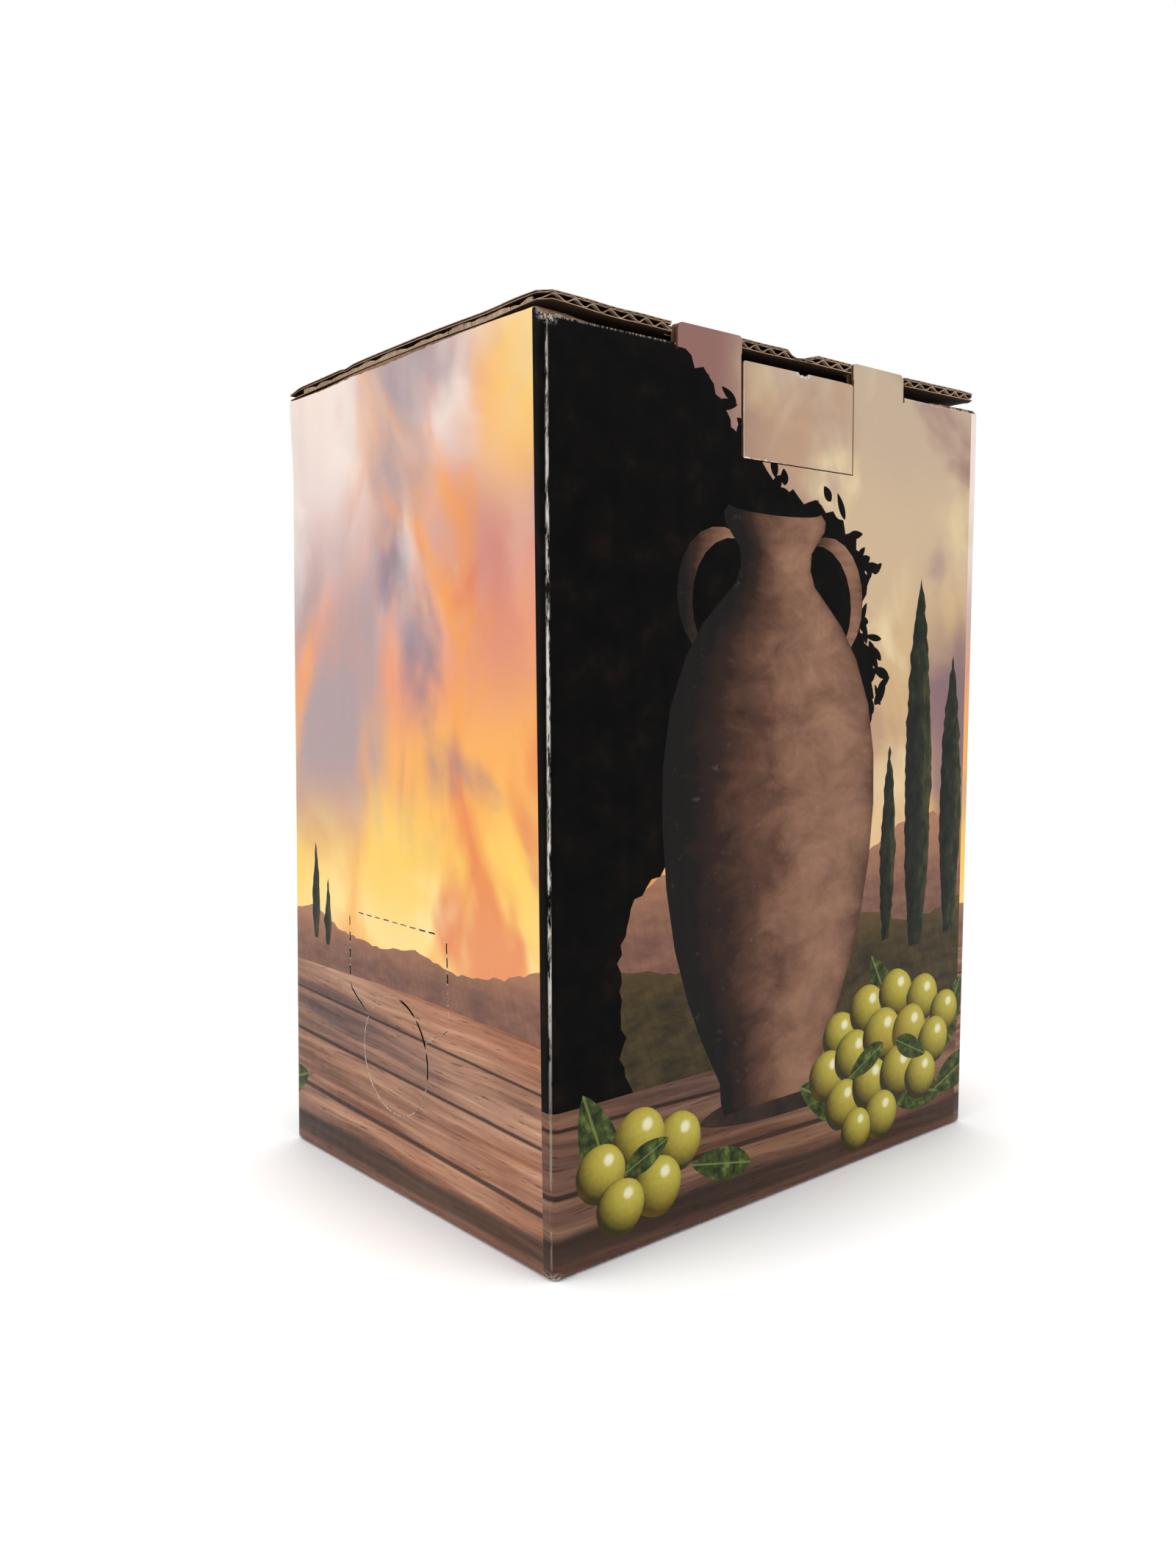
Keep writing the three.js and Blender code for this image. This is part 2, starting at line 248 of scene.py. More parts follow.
def varnish(p, color, wear=1.0, grain=0.06):
    """Finishes a printed surface: ink grain, worn corners and edges, a painted highlight along the corner
    ridge, washboard of the flutes.
    """
    spot = p.place()
    x, y, _ = p.split(spot)
    z = p.mul(p.split(p.uv("print"))[1], 0.1)
    fine = p.noise(p.scale(spot, 1, 1, 0.7), 1500.0, 2.0, 0.6)
    color = p.mix(p.span(fine, 0.3, 0.7, 0.0, grain, False), color, "ffffff", "SOFT_LIGHT")
    dx = p.minus(p.size(x), (HW - 0.35) * MM)
    dy = p.minus(p.size(y), (HD - 0.35) * MM)
    patches = p.noise(p.scale(spot, 1, 1, 0.16), 900.0, 4.0, 0.7)
    # the whitish line along the vertical corner ridge is partly worn paper and partly a painted highlight of
    # the fold, fainter near the foot
    ridge = p.mul(near(p, dx, dy, 0.00042), p.span(patches, 0.40, 0.54))
    ridge = p.mul(ridge, p.span(z, 0.05, 0.085, 0.3, 1.0))
    low = p.mul(p.span(z, 0.0, 0.0011, 1.0, 0.0), p.span(patches, 0.52, 0.66))
    top = p.mul(p.span(z, 0.2493, 0.2500), p.span(z, 0.2504, 0.2502))
    top = p.mul(top, p.span(p.size(y), 0.0505, 0.0520))
    high = p.mul(p.mul(top, p.span(patches, 0.45, 0.60)), 0.55)
    ends = p.span(p.size(p.minus(z, 0.125)), 0.1222, 0.1249)
    corner = p.mul(near(p, dx, dy, 0.0021), ends)
    corner = p.mul(corner, p.span(p.noise(spot, 1700.0, 3.0, 0.7), 0.49, 0.57))
    mask = p.top(p.top(ridge, low), p.top(high, corner))
    mask = p.mul(mask, 0.85 * wear, clamp=True)
    color = p.mix(mask, color, p.ramp(patches, [(0.3, "b7a290"), (0.62, "efe9e2")]))
    p.put(color, p.bsdf.inputs["Base Color"])
    flutes = p.sine(p.mul(p.plus(x, y), 2 * math.pi / 0.006))
    waves = p.noise(p.scale(spot, 1, 1, 0.4), 60.0, 2.0, 0.5)
    height = p.line(waves, 2.0, p.mul(flutes, 0.2))
    normal = p.bump(height, 0.22, 0.0003)
    p.put(p.bump(fine, 0.10, 0.0001, normal), p.bsdf.inputs["Normal"])
    rough = p.span(p.noise(spot, 300.0, 2.0, 0.5), 0.3, 0.7, 0.34, 0.46, False)
    p.put(p.mix(mask, p.join(rough, rough, rough), "e6e6e6"), p.bsdf.inputs["Roughness"])
    return p.mat


# Colours of the print
def clouds(p, uv, color, code, shape, cut, stretch, strength=1.0, fade=None):
    """Lays soft smears of one colour over another."""
    smear = p.noise(p.scale(uv, stretch[0], stretch[1], 1.0, shape), 1.0, 3.5, 0.5, 0.9)
    mask = p.span(smear, cut[0], cut[1], 0.0, strength)
    if fade is not None:
        mask = p.mul(mask, fade)
    return p.mix(mask, color, code)


def narrow_sky():
    p = Paint("print_sky_narrow")
    uv = p.uv("print")
    t, z, _ = p.split(uv)
    drift = p.noise(p.scale(uv, 1.3, 0.8), 1.0, 2.0, 0.5, 0.6)
    level = p.plus(p.mul(z, 0.4), p.mul(p.minus(drift, 0.5), 0.34))
    color = p.ramp(level, [
        (0.22, "f2b05c"), (0.31, "ffdf92"), (0.42, "ffd067"), (0.54, "f8b060"),
        (0.66, "e79a78"), (0.80, "cfa5a0"), (0.96, "f1ddd0"),
    ], True)
    pale = p.mul(p.span(z, 1.7, 2.2), p.span(t, -0.02, -0.42))
    calm = p.line(pale, -0.85, 1.0)
    high = p.mul(p.span(z, 0.9, 1.35), calm)
    color = p.mix(p.mul(pale, 0.75), color, "f8e8de")
    glow = p.mul(p.span(t, 0.12, 0.62), p.span(z, 1.35, 2.0))
    for smear in (
        ("f6a24e", (3.1, 0.4, 0), (0.50, 0.66), (1.9, 0.9), 0.9, calm),
        ("e2704e", (7.7, 2.2, 0), (0.54, 0.70), (2.2, 1.1), 0.75, calm),
        ("ab999d", (1.25, 5.1, 0), (0.42, 0.58), (1.3, 0.7), 0.95, high),
        ("7f7488", (4.6, 1.4, 0), (0.52, 0.70), (1.6, 0.85), 0.85, high),
        ("faf0e8", (9.3, 3.6, 0), (0.50, 0.70), (1.7, 1.1), 0.85, p.span(z, 1.5, 2.4)),
        ("c9786c", (6.1, 7.4, 0), (0.36, 0.58), (1.9, 1.5), 0.85, glow),
        ("f4a550", (0.9, 9.2, 0), (0.42, 0.60), (1.9, 1.3), 0.9, p.mul(glow, p.span(z, 1.9, 2.3))),
        ("fff0b8", (2.3, 8.6, 0), (0.50, 0.72), (1.6, 1.3), 0.85, p.span(z, 1.35, 0.7)),
    ):
        color = clouds(p, uv, color, *smear)
    color = p.mix(p.mul(p.span(t, 0.32, 0.60), p.span(z, 1.98, 2.34, 0.0, 0.75)), color, "fbd27c")
    return varnish(p, p.tint(color, "c77f45", z, 0.62, 0.78, 0.75, 0.0))


def wide_sky():
    p = Paint("print_sky_wide")
    uv = p.uv("print")
    t, z, _ = p.split(uv)
    drift = p.noise(p.scale(uv, 1.2, 0.9, 1.0, (3, 1, 0)), 1.0, 2.0, 0.5, 0.5)
    level = p.plus(p.mul(z, 0.4), p.mul(p.minus(drift, 0.5), 0.3))
    color = p.ramp(level, [
        (0.28, "d0643a"), (0.38, "e39050"), (0.50, "e0b078"), (0.62, "d2b083"),
        (0.80, "cdb393"), (0.95, "c2ab93"),
    ], True)
    left = p.span(t, -0.05, -0.35)
    right = p.span(t, 0.45, 0.85)
    for smear in (
        ("ecd5a6", (2.2, 6.3, 0), (0.48, 0.66), (1.9, 1.6), 0.8),
        ("b28a72", (7.4, 2.9, 0), (0.48, 0.66), (2.3, 1.7), 0.7),
        ("a58a86", (3.9, 5.7, 0), (0.52, 0.68), (2.1, 1.6), 0.7),
    ):
        color = clouds(p, uv, color, *smear)
    color = p.mix(p.mul(left, p.span(z, 1.7, 2.2)), color, "8d665f")
    dusk = p.mul(right, p.span(z, 2.2, 1.5))
    high = p.span(z, 1.0, 1.6)
    color = clouds(p, uv, color, "97706c", (5.1, 0.8, 0), (0.47, 0.64), (1.2, 1.5), 0.85, high)
    color = clouds(p, uv, color, "77616f", (0.6, 3.4, 0), (0.42, 0.60), (1.5, 1.0), 0.8, dusk)
    return varnish(p, color)


def planks(name, dim):
    p = Paint(name)
    uv = p.uv("print")
    t, z, _ = p.split(uv)
    slope = p.line(t, 0.035, z)
    flow = p.noise(p.scale(uv, 0.9, 3.0), 1.0, 2.0, 0.5)
    bent = p.join(t, p.line(flow, 0.10, slope), 0.0)
    grain = p.noise(p.scale(bent, 1.4, 34.0), 1.0, 5.0, 0.62)
    broad = p.noise(p.scale(bent, 0.8, 7.0, 1.0, (2, 4, 0)), 1.0, 3.0, 0.5)
    tone = p.plus(p.mul(grain, 0.55), p.mul(broad, 0.45))
    color = p.ramp(tone, [
        (0.30, "4a352d"), (0.42, "7c5846"), (0.50, "9c715b"), (0.58, "b98c70"), (0.68, "dcb294"),
    ])
    warm = p.noise(p.scale(bent, 0.7, 3.2, 1.0, (8, 1, 0)), 1.0, 2.0, 0.5)
    color = p.tint(color, p.half(color, "a4542c"), warm, 0.48, 0.7, 0.0, 0.6)
    color = p.tint(color, p.half(color, "5d5664"), warm, 0.5, 0.3, 0.0, 0.45)
    gaps = None
    for level, thick in ((0.19, 0.012), (0.37, 0.008), (0.515, 0.006)):
        line = p.size(p.minus(slope, level))
        line = p.span(line, thick * 0.35, thick, 1.0, 0.0)
        gaps = line if gaps is None else p.top(gaps, line)
    color = p.mix(p.mul(gaps, 0.85), color, "1b1413")
    pores = p.noise(p.scale(bent, 9.0, 130.0), 1.0, 2.0, 0.6)
    color = p.tint(color, "2a1d18", pores, 0.60, 0.70, 0.0, 0.6)
    low = p.line(p.minus(broad, 0.5), 0.12, z)
    band = p.mul(p.span(low, 0.13, 0.09), p.span(low, 0.02, 0.05))
    color = p.mix(band, color, p.mix(0.8, color, "2a231f"))
    color = p.tint(color, "5c3a33", low, 0.05, 0.02, 0.0, 0.6)
    color = p.mix(dim, color, "1c0f09")
    return varnish(p, color)


def dark_tree():
    p = Paint("print_dark_tree", specular=0.03)
    uv = p.uv("print")
    mottle = p.noise(uv, 9.0, 4.0, 0.6)
    color = p.ramp(mottle, [(0.35, "040404"), (0.58, "0b0908"), (0.78, "1c130d")])
    return varnish(p, color, grain=0.02)


def hill(name, low, high, top):
    p = Paint(name)
    uv = p.uv("print")
    form = p.form()
    mottle = p.noise(p.scale(uv, 1.0, 2.4), 9.0, 5.0, 0.65)
    color = p.mix(p.span(mottle, 0.3, 0.7), low, high)
    rows = p.sine(p.mul(p.line(form[0], 9.0, form[1]), 16.0))
    color = p.tint(color, low, rows, 0.2, 1.0, 0.0, 0.25)
    color = p.tint(color, top, form[1], 0.3, 1.0, 0.0, 0.6)
    return varnish(p, color)


def cypress():
    p = Paint("print_cypress")
    uv = p.uv("print")
    form = p.form()
    tufts = p.noise(p.scale(uv, 26.0, 10.0), 1.0, 4.0, 0.7)
    light = p.plus(tufts, p.mul(form[0], 0.22))
    return varnish(p, p.ramp(light, [(0.35, "0b0d08"), (0.55, "1d2214"), (0.75, "434225")]))


def clay():
    p = Paint("print_clay")
    uv = p.uv("print")
    u, v, _ = p.form()
    side = p.root(p.minus(1.0, p.mul(u, u), clamp=True))
    light = p.plus(p.mul(side, 0.52), p.mul(u, 0.40))
    rings = p.sine(p.mul(p.line(p.noise(uv, 3.0), 0.25, v), 46.0))
    patina = p.noise(p.scale(uv, 1.0, 1.6), 5.0, 6.0, 0.68, 0.4)
    light = p.plus(light, p.mul(p.minus(patina, 0.5), 0.55))
    light = p.line(rings, 0.018, light)
    color = p.ramp(light, [
        (0.0, "0c0706"), (0.25, "2c1a13"), (0.45, "5a3c2e"),
        (0.65, "8a6450"), (0.85, "ab8468"), (1.0, "c9a283"),
    ])
    lime = p.noise(p.scale(uv, 1.0, 1.3, 1.0, (4, 2, 0)), 14.0, 5.0, 0.7)
    color = p.tint(color, p.half(color, "d8c3a8"), lime, 0.6, 0.8, 0.0, 0.22)
    return varnish(p, color)


def fruit():
    p = Paint("print_fruit")
    uv = p.uv("print")
    u, v, _ = p.form()
    face = p.root(p.minus(1.0, square(p, u, v), clamp=True))
    light = p.plus(p.mul(u, 0.30), p.mul(v, 0.34))
    light = p.line(face, 0.52, light)
    speckle = p.noise(uv, 55.0, 3.0, 0.6)
    light = p.line(p.minus(speckle, 0.5), 0.16, light)
    color = p.ramp(light, [
        (0.0, "332c10"), (0.22, "6b5f22"), (0.42, "958833"),
        (0.62, "b7a947"), (0.82, "cfc465"), (1.0, "e3dc96"),
    ])
    color = p.mix(p.span(p.noise(uv, 4.0, 2.0), 0.5, 0.72, 0.0, 0.45), color, p.half(color, "b8862c"))
    spot = square(p, p.minus(u, 0.32), p.minus(v, 0.42))
    color = p.tint(color, "f3efcf", spot, 0.0, 0.07, 0.8, 0.0)
    return varnish(p, color)


def leaf():
    p = Paint("print_leaf")
    uv = p.uv("print")
    u, v, _ = p.form()
    rib = p.span(p.size(v), 0.02, 0.10, 0.5, 0.0)
    tone = p.noise(uv, 30.0, 3.0)
    color = p.ramp(tone, [(0.35, "1c2611"), (0.55, "3d4a1f"), (0.7, "667238")])
    return varnish(p, p.mix(rib, color, "8a9350"))


def shade():
    p = Paint("print_shade")
    mottle = p.noise(p.uv("print"), 12.0, 3.0)
    return varnish(p, p.ramp(mottle, [(0.35, "1a1210"), (0.7, "3b2a22")]))


def lid_print():
    p = Paint("lid_print")
    spot = p.place()
    mottle = p.noise(spot, 60.0, 4.0, 0.6)
    return varnish(p, p.ramp(mottle, [(0.35, "14110f"), (0.65, "241c18")]), 0.0)


def paper(name, low, high, rough=0.85):
    """Raw board: fibres, blotches and the faint lines of the flutes. The slit and lid underside papers get
    darkened colours, a painted shade.
    """
    p = Paint(name, rough, 0.12)
    spot = p.place()
    fibre = p.noise(p.scale(spot, 1.0, 1.0, 0.35), 900.0, 4.0, 0.7)
    blotch = p.noise(spot, 45.0, 4.0, 0.6)
    tone = p.plus(p.mul(fibre, 0.6), p.mul(blotch, 0.4))
    p.put(p.ramp(tone, [(0.34, low), (0.66, high)]), p.bsdf.inputs["Base Color"])
    p.put(p.bump(fibre, 0.25, 0.0002), p.bsdf.inputs["Normal"])
    return p.mat


MATS = {
    "sky_narrow": narrow_sky(),
    "sky_wide": wide_sky(),
    "planks": planks("print_planks", 0.0),
    "planks_wide": planks("print_planks_wide", 0.5),
    "dark": dark_tree(),
    "far_hill": hill("print_far_hill", "6d4c43", "8a6250", "c08a66"),
    "near_hill": hill("print_near_hill", "2c2517", "4b3e25", "6d5632"),
    "cypress": cypress(),
    "clay": clay(),
    "fruit": fruit(),
    "leaf": leaf(),
    "shade": shade(),
    "lid_print": lid_print(),
    "rim": paper("torn_paper", "b39c86", "efe7dd"),
    "kraft": paper("kraft_liner", "7d5f45", "a5825f"),
    "cut": paper("kraft_cut", "5d4433", "9c7c5e"),
    # slit: board painted near-black as the shade inside cuts, flute hollows and between the lid's liners
    "slit": paper("painted_shade_paper", "120b08", "2b1c14"),
    "medium": paper("flute_paper", "8a6c53", "cbb096"),
    # the lid's underside: kraft painted darker, as the painted shade under the lid
    "lid_under": paper("lid_underside_painted_shade", "33261e", "4d3a2e"),
    "lid_edge": paper("lid_edge", "8a6d54", "c2a184"),
}
SLOTS = {name: index for index, name in enumerate(MATS)}


# Mesh of one piece, gathered face by face in millimetres
class Build:
    def __init__(self):
        self.points, self.faces, self.mats, self.prints, self.forms = [], [], [], [], []

    def vert(self, x, y, z):
        self.points.append(settle(x, y, z))
        return len(self.points) - 1

    def face(self, ids, mat, prints=None, forms=None):
        self.faces.append(ids)
        self.mats.append(SLOTS[mat])
        blank = [(0.0, 0.0)] * len(ids)
        self.prints.append(prints or blank)
        self.forms.append(forms or blank)

    def piece(self, name, body, node, sharp=38.0):
        mesh = bpy.data.meshes.new(name)
        mesh.from_pydata([tuple(c * MM for c in p) for p in self.points], [], self.faces)
        used = sorted(set(self.mats))
        for index in used:
            mesh.materials.append(list(MATS.values())[index])
        mesh.polygons.foreach_set("material_index", [used.index(index) for index in self.mats])
        for label, rows in (("print", self.prints), ("form", self.forms)):
            layer = mesh.uv_layers.new(name=label)
            layer.data.foreach_set("uv", [c for row in rows for pair in row for c in pair])
        work = bmesh.new()
        work.from_mesh(mesh)
        bmesh.ops.remove_doubles(work, verts=work.verts, dist=0.0000015)
        bmesh.ops.dissolve_degenerate(work, edges=work.edges, dist=0.000001)
        work.to_mesh(mesh)
        work.free()
        mesh.shade_smooth()
        mesh.set_sharp_from_angle(angle=math.radians(sharp))
        obj = bpy.data.objects.new(name, mesh)
        scene.collection.objects.link(obj)
        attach(obj, body)
        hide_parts(node)
        return obj


def share(value, low, high):
    """How far a value is from low to high, from 0 to 1."""
    return max(0.0, min(1.0, (value - low) / (high - low)))


def smooth(k):
    return k * k * (3 - 2 * k)


def settle(x, y, z):
    """Racks the box a little and lets its walls bow, as the real one does."""
    hinge = share(z, 222.0, 246.0) * share(x, -38.0, -64.0)
    twist = TWIST * (z - 125.0) / 125.0 * (x * y) / (HW * HD) * (1 - smooth(hinge))
    # the folds over the narrow walls spring up against the lid
    if 236.0 < z <= H + 0.1 and abs(y) > 62.0:
        room = 0.3 + 0.0185 * (x + HW) + 1.3 * math.sin(math.pi * (x + HW) / W) * (0.6 - 0.4 * y / HD)
        reach = share(x, -64.0, -30.0) * share(x, HW - 0.7, HW - 3.9)
        room *= 0.9 if y < 0 else 0.35
        z += room * reach * share(z, 236.0, 249.0) ** 2 * share(abs(y), 62.0, 86.0)
    # the wall beside the far tab is pressed down
    if z > 238.0 and x > 66.0 and y > 20.0:
        z -= 1.3 * share(z, 238.0, 248.0) * share(y, 20.0, 54.0) * (1 if z < H + 0.2 else 0.15)
    rise = 1.0 - min(1.0, abs(z - 125.0) / 125.0) ** 2
    sway = noise.noise((x / 70.0, y / 55.0, z / 75.0))
    bow_x = share(abs(x), 60.0, 66.0) * rise * (1.0 - min(1.0, abs(y) / HD) ** 2) * (0.5 + 1.3 * sway)
    bow_y = share(abs(y), 83.0, 89.0) * rise * (1.0 - min(1.0, abs(x) / HW) ** 2) * (0.3 + 1.1 * sway)
    return (x + twist + math.copysign(bow_x, x), y + twist + math.copysign(bow_y, y), z)


def inside(poly, x, y):
    hit = False
    xj, yj = poly[-1]
    for xi, yi in poly:
        if (yi > y) != (yj > y) and x < (xj - xi) * (y - yi) / (yj - yi) + xi:
            hit = not hit
        xj, yj = xi, yi
    return hit


class Field:
    """Part of the print: an outline on the sheet and the material that fills it."""

    def __init__(self, poly, mat, origin=0.0, form=None):
        self.poly, self.mat, self.origin = poly, mat, origin
        across, up = [p[0] for p in poly], [p[1] for p in poly]
        self.low, self.high = (min(across), min(up)), (max(across), max(up))
        self.form = form or self.local

    def local(self, s, z):
        (x0, y0), (x1, y1) = self.low, self.high
        return (2 * (s - x0) / (x1 - x0) - 1, 2 * (z - y0) / (y1 - y0) - 1)

    def holds(self, s, z):
        if not (self.low[0] <= s <= self.high[0] and self.low[1] <= z <= self.high[1]):
            return False
        return inside(self.poly, s, z)


# Steps (depth into the board's edge, distance from the printed face) of an open
# cut edge: three liners with the room of the flutes between them
TOP, MIDDLE = BOARD - FINE[1], (BOARD - FINE[0], BOARD - COARSE[1])
LOW, DEEP = BOARD - COARSE[0], 3.0
OPEN_EDGE = (
    (0, 0), (0, TOP), (DEEP, TOP), (DEEP, MIDDLE[0]), (0, MIDDLE[0]),
    (0, MIDDLE[1]), (DEEP, MIDDLE[1]), (DEEP, LOW), (0, LOW), (0, BOARD),
)


def dense(poly, step, marks):
    """The same outline with more points, also where it crosses the marks."""
    result = []
    for a, b in zip(poly, poly[1:] + poly[:1]):
        count = max(1, math.ceil(math.dist(a, b) / step))
        parts = {round(i / count, 5) for i in range(count)}
        if abs(b[0] - a[0]) > 0.01:
            parts |= {round((m - a[0]) / (b[0] - a[0]), 5) for m in marks}
        parts = sorted(part for part in parts if 0 <= part < 0.99999)
        result += [(a[0] + (b[0] - a[0]) * part, a[1] + (b[1] - a[1]) * part) for part in parts]
    return result


def sheet(build, outline, holes, fields, place, bends, rows, step, is_open=None,
          depths=(0.0, BOARD), back="kraft", edge="cut", grain=6.0, joined=()):
    """Adds a sheet of board with printed fields, holes and edges."""
    points, edges = [], []
    outline = dense(outline, grain, bends)

    def ring(poly):
        start, count = len(points), len(poly)
        points.extend(Vector(p) for p in poly)
        edges.extend((start + i, start + (i + 1) % count) for i in range(count))

    for poly in (outline, *holes, *(field.poly for field in fields)):
        ring(poly)
    low = min(p[0] for p in outline), min(p[1] for p in outline)
    high = max(p[0] for p in outline), max(p[1] for p in outline)
    columns = {round(low[0] + i * (high[0] - low[0]) / step[0], 3): False for i in range(1, step[0])}
    columns = {s: flag for s, flag in columns.items() if all(abs(s - b) > 3.0 for b in bends)}
    columns.update({b: True for b in bends})
    levels = [low[1] + i * (high[1] - low[1]) / step[1] for i in range(1, step[1])]
    levels = sorted([z for z in levels if all(abs(z - r) > 1.5 for r in rows)] + list(rows))
    last = {}
    for s, bend in sorted(columns.items()):
        previous = None
        for z in levels:
            if z in rows:
                if z in last:
                    edges.append((last[z], len(points)))
                last[z] = len(points)
            points.append(Vector((s, z)))
            if bend and previous is not None:
                edges.append((previous, len(points) - 1))
            previous = len(points) - 1
    verts, _, faces, _, _, _ = geometry.delaunay_2d_cdt(points, edges, [], 0, 0.0001)

    pits = [Field(poly, None) for poly in holes]
    kept, owners = [], []
    for face in faces:
        s = sum(verts[i][0] for i in face) / 3
        z = sum(verts[i][1] for i in face) / 3
        if not inside(outline, s, z):
            continue
        if any(pit.holds(s, z) for pit in pits):
            continue
        kept.append(tuple(face))
        owners.append(next(field for field in reversed(fields) if field.holds(s, z)))

    outer, inner = {}, {}

    def skin(table, index, depth):
        if index not in table:
            table[index] = build.vert(*place(verts[index][0], verts[index][1], depth))
        return table[index]

    used = {}
    for face, owner in zip(kept, owners):
        pairs = [(verts[i][0], verts[i][1]) for i in face]
        prints = [((s - owner.origin) / 100, z / 100) for s, z in pairs]
        forms = [owner.form(s, z) for s, z in pairs]
        build.face([skin(outer, i, depths[0]) for i in face], owner.mat, prints, forms)
        turned = face[::-1]
        flat = [(verts[i][0] / 100, verts[i][1] / 100) for i in turned]
        build.face([skin(inner, i, depths[1]) for i in turned], back, flat)
        for a, b in zip(face, face[1:] + face[:1]):
            used[(a, b)] = True
    rim = [(a, b) for a, b in used if (b, a) not in used
           and not any(abs(verts[a][0] - s) + abs(verts[b][0] - s) < 0.02 for s in joined)]
    aim, plain = {}, set()
    for a, b in rim:
        along = Vector(verts[b]) - Vector(verts[a])
        if along.length > 0:
            along.normalize()
        inward = Vector((-along.y, along.x))
        middle = (Vector(verts[a]) + Vector(verts[b])) / 2
        if is_open is None or not is_open(middle.x, middle.y):
            plain.update((a, b))
        for i in (a, b):
            aim[i] = aim.get(i, Vector((0.0, 0.0))) + inward
    cache = {}

    def rib(index, order):
        key = (index, order)
        if key not in cache:
            into, depth = OPEN_EDGE[order]
            way = aim[index].normalized() * (0.0 if index in plain else into)
            s, z = verts[index][0] + way.x, verts[index][1] + way.y
            cache[key] = build.vert(*place(s, z, depth))
        return cache[key]

    for a, b in rim:
        mat = edge(*verts[a]) if callable(edge) else edge
        if a in plain and b in plain:
            ids = [skin(outer, b, depths[0]), skin(outer, a, depths[0]),
                   skin(inner, a, depths[1]), skin(inner, b, depths[1])]
            build.face(ids, mat)
        else:
            for order in range(len(OPEN_EDGE) - 1):
                build.face([rib(b, order), rib(a, order), rib(a, order + 1), rib(b, order + 1)], mat)


def ribbon(build, place, start, end, band, pitch, reach, phase, thick, lip):
    """Adds the waved paper between two liners: place(t, into, height) gives its points. Only the strip at
    index lip has the flute paper's colour; deeper in, the paper is near-black, a painted shade of the hollow.
    """
    count = max(4, int((end - start) / pitch * 10))
    middle, swing = (band[0] + band[1]) / 2, (band[1] - band[0] - thick * 1.15) / 2
    rings = []
    for i in range(count + 1):
        t = start + (end - start) * i / count
        drift = 0.35 * noise.noise((t / 17.0, phase, 3.0))
        angle = 2 * math.pi * (t / pitch + drift) + phase
        height = middle + swing * math.sin(angle)
        slope = swing * 2 * math.pi / pitch * math.cos(angle)
        half = min(thick, thick / 2 * math.sqrt(1 + slope * slope))
        top, low = min(height + half, band[1]), max(height - half, band[0])
        stations = reach(t) if callable(reach) else reach
        rings.append([[build.vert(*place(t, into, level)) for into in stations] for level in (top, low)])
    for (top_a, low_a), (top_b, low_b) in zip(rings, rings[1:]):
        for i in range(len(top_a) - 1):
            # paper past the lip is the near-black slit paper: painted shade inside the flutes
            mat = "medium" if i == lip else "slit"
            build.face([top_a[i], top_a[i + 1], top_b[i + 1], top_b[i]], mat)
            build.face([low_a[i + 1], low_a[i], low_b[i], low_b[i + 1]], mat)
        build.face([top_a[0], top_b[0], low_b[0], low_a[0]], "medium")
        build.face([top_b[-1], top_a[-1], low_a[-1], low_b[-1]], "medium")
    for (top, low), flip in ((rings[0], False), (rings[-1], True)):
        for i in range(len(top) - 1):
            ids = [top[i], low[i], low[i + 1], top[i + 1]]
            build.face(ids[::-1] if flip else ids, "medium")


def flutes(build, place, start, stop, reach, phases, gauges=(0.2, 0.14), lip=0):
    """Adds the waved paper of both rows of flutes."""
    for band, pitch, phase, gauge in zip((COARSE, FINE), PITCHES, phases, gauges):
        ribbon(build, place, start, stop, band, pitch, reach, phase, gauge, lip)


def slab(build, x0, x1, y0, y1, z0, z1, cuts):
    """Adds a closed panel of board with its faces up and down."""
    nx, ny = cuts
    xs = [x0 + (x1 - x0) * i / nx for i in range(nx + 1)]
    ys = [y0 + (y1 - y0) * j / ny for j in range(ny + 1)]
    top = [[build.vert(x, y, z1) for y in ys] for x in xs]
    low = [[build.vert(x, y, z0) for y in ys] for x in xs]
    for i in range(nx):
        for j in range(ny):
            build.face([top[i][j], top[i + 1][j], top[i + 1][j + 1], top[i][j + 1]], "kraft")
            build.face([low[i][j + 1], low[i + 1][j + 1], low[i + 1][j], low[i][j]], "kraft")
    for i in range(nx):
        build.face([low[i][0], low[i + 1][0], top[i + 1][0], top[i][0]], "cut")
        build.face([top[i][ny], top[i + 1][ny], low[i + 1][ny], low[i][ny]], "cut")
    for j in range(ny):
        build.face([top[0][j], top[0][j + 1], low[0][j + 1], low[0][j]], "cut")
        build.face([low[nx][j], low[nx][j + 1], top[nx][j + 1], top[nx][j]], "cut")


# Motifs of the print, as outlines on the sheet
def rough_line(points, step, swing, seed, closed=True):
    """Breaks a line into short pieces that stray to both sides."""
    result = []
    count = len(points) if closed else len(points) - 1
    for i in range(count):
        a, b = Vector(points[i]), Vector(points[(i + 1) % len(points)])
        pieces = max(1, round((b - a).length / step))
        side = Vector((-(b - a).y, (b - a).x)).normalized() if (b - a).length > 0 else Vector((0, 0))
        for k in range(pieces):
            p = a.lerp(b, k / pieces)
            if k or closed:
                p = p + side * swing * noise.noise((p.x * 0.31 + seed, p.y * 0.31, seed * 1.7))
                if k % 2:
                    p = p + side * swing * 0.35 * (rng.random() - 0.5)
            result.append((p.x, p.y))
    if not closed:
        result.append(tuple(points[-1]))
    return result


def disc(cx, cz, rx, rz=None, count=28, wobble=0.0, seed=0.0):
    rz = rx if rz is None else rz
    ring = []
    for i in range(count):
        angle = 2 * math.pi * i / count
        swell = 1 + wobble * noise.noise((math.cos(angle) * 1.5 + seed, math.sin(angle) * 1.5, seed))
        ring.append((cx + rx * swell * math.cos(angle), cz + rz * swell * math.sin(angle)))
    return ring


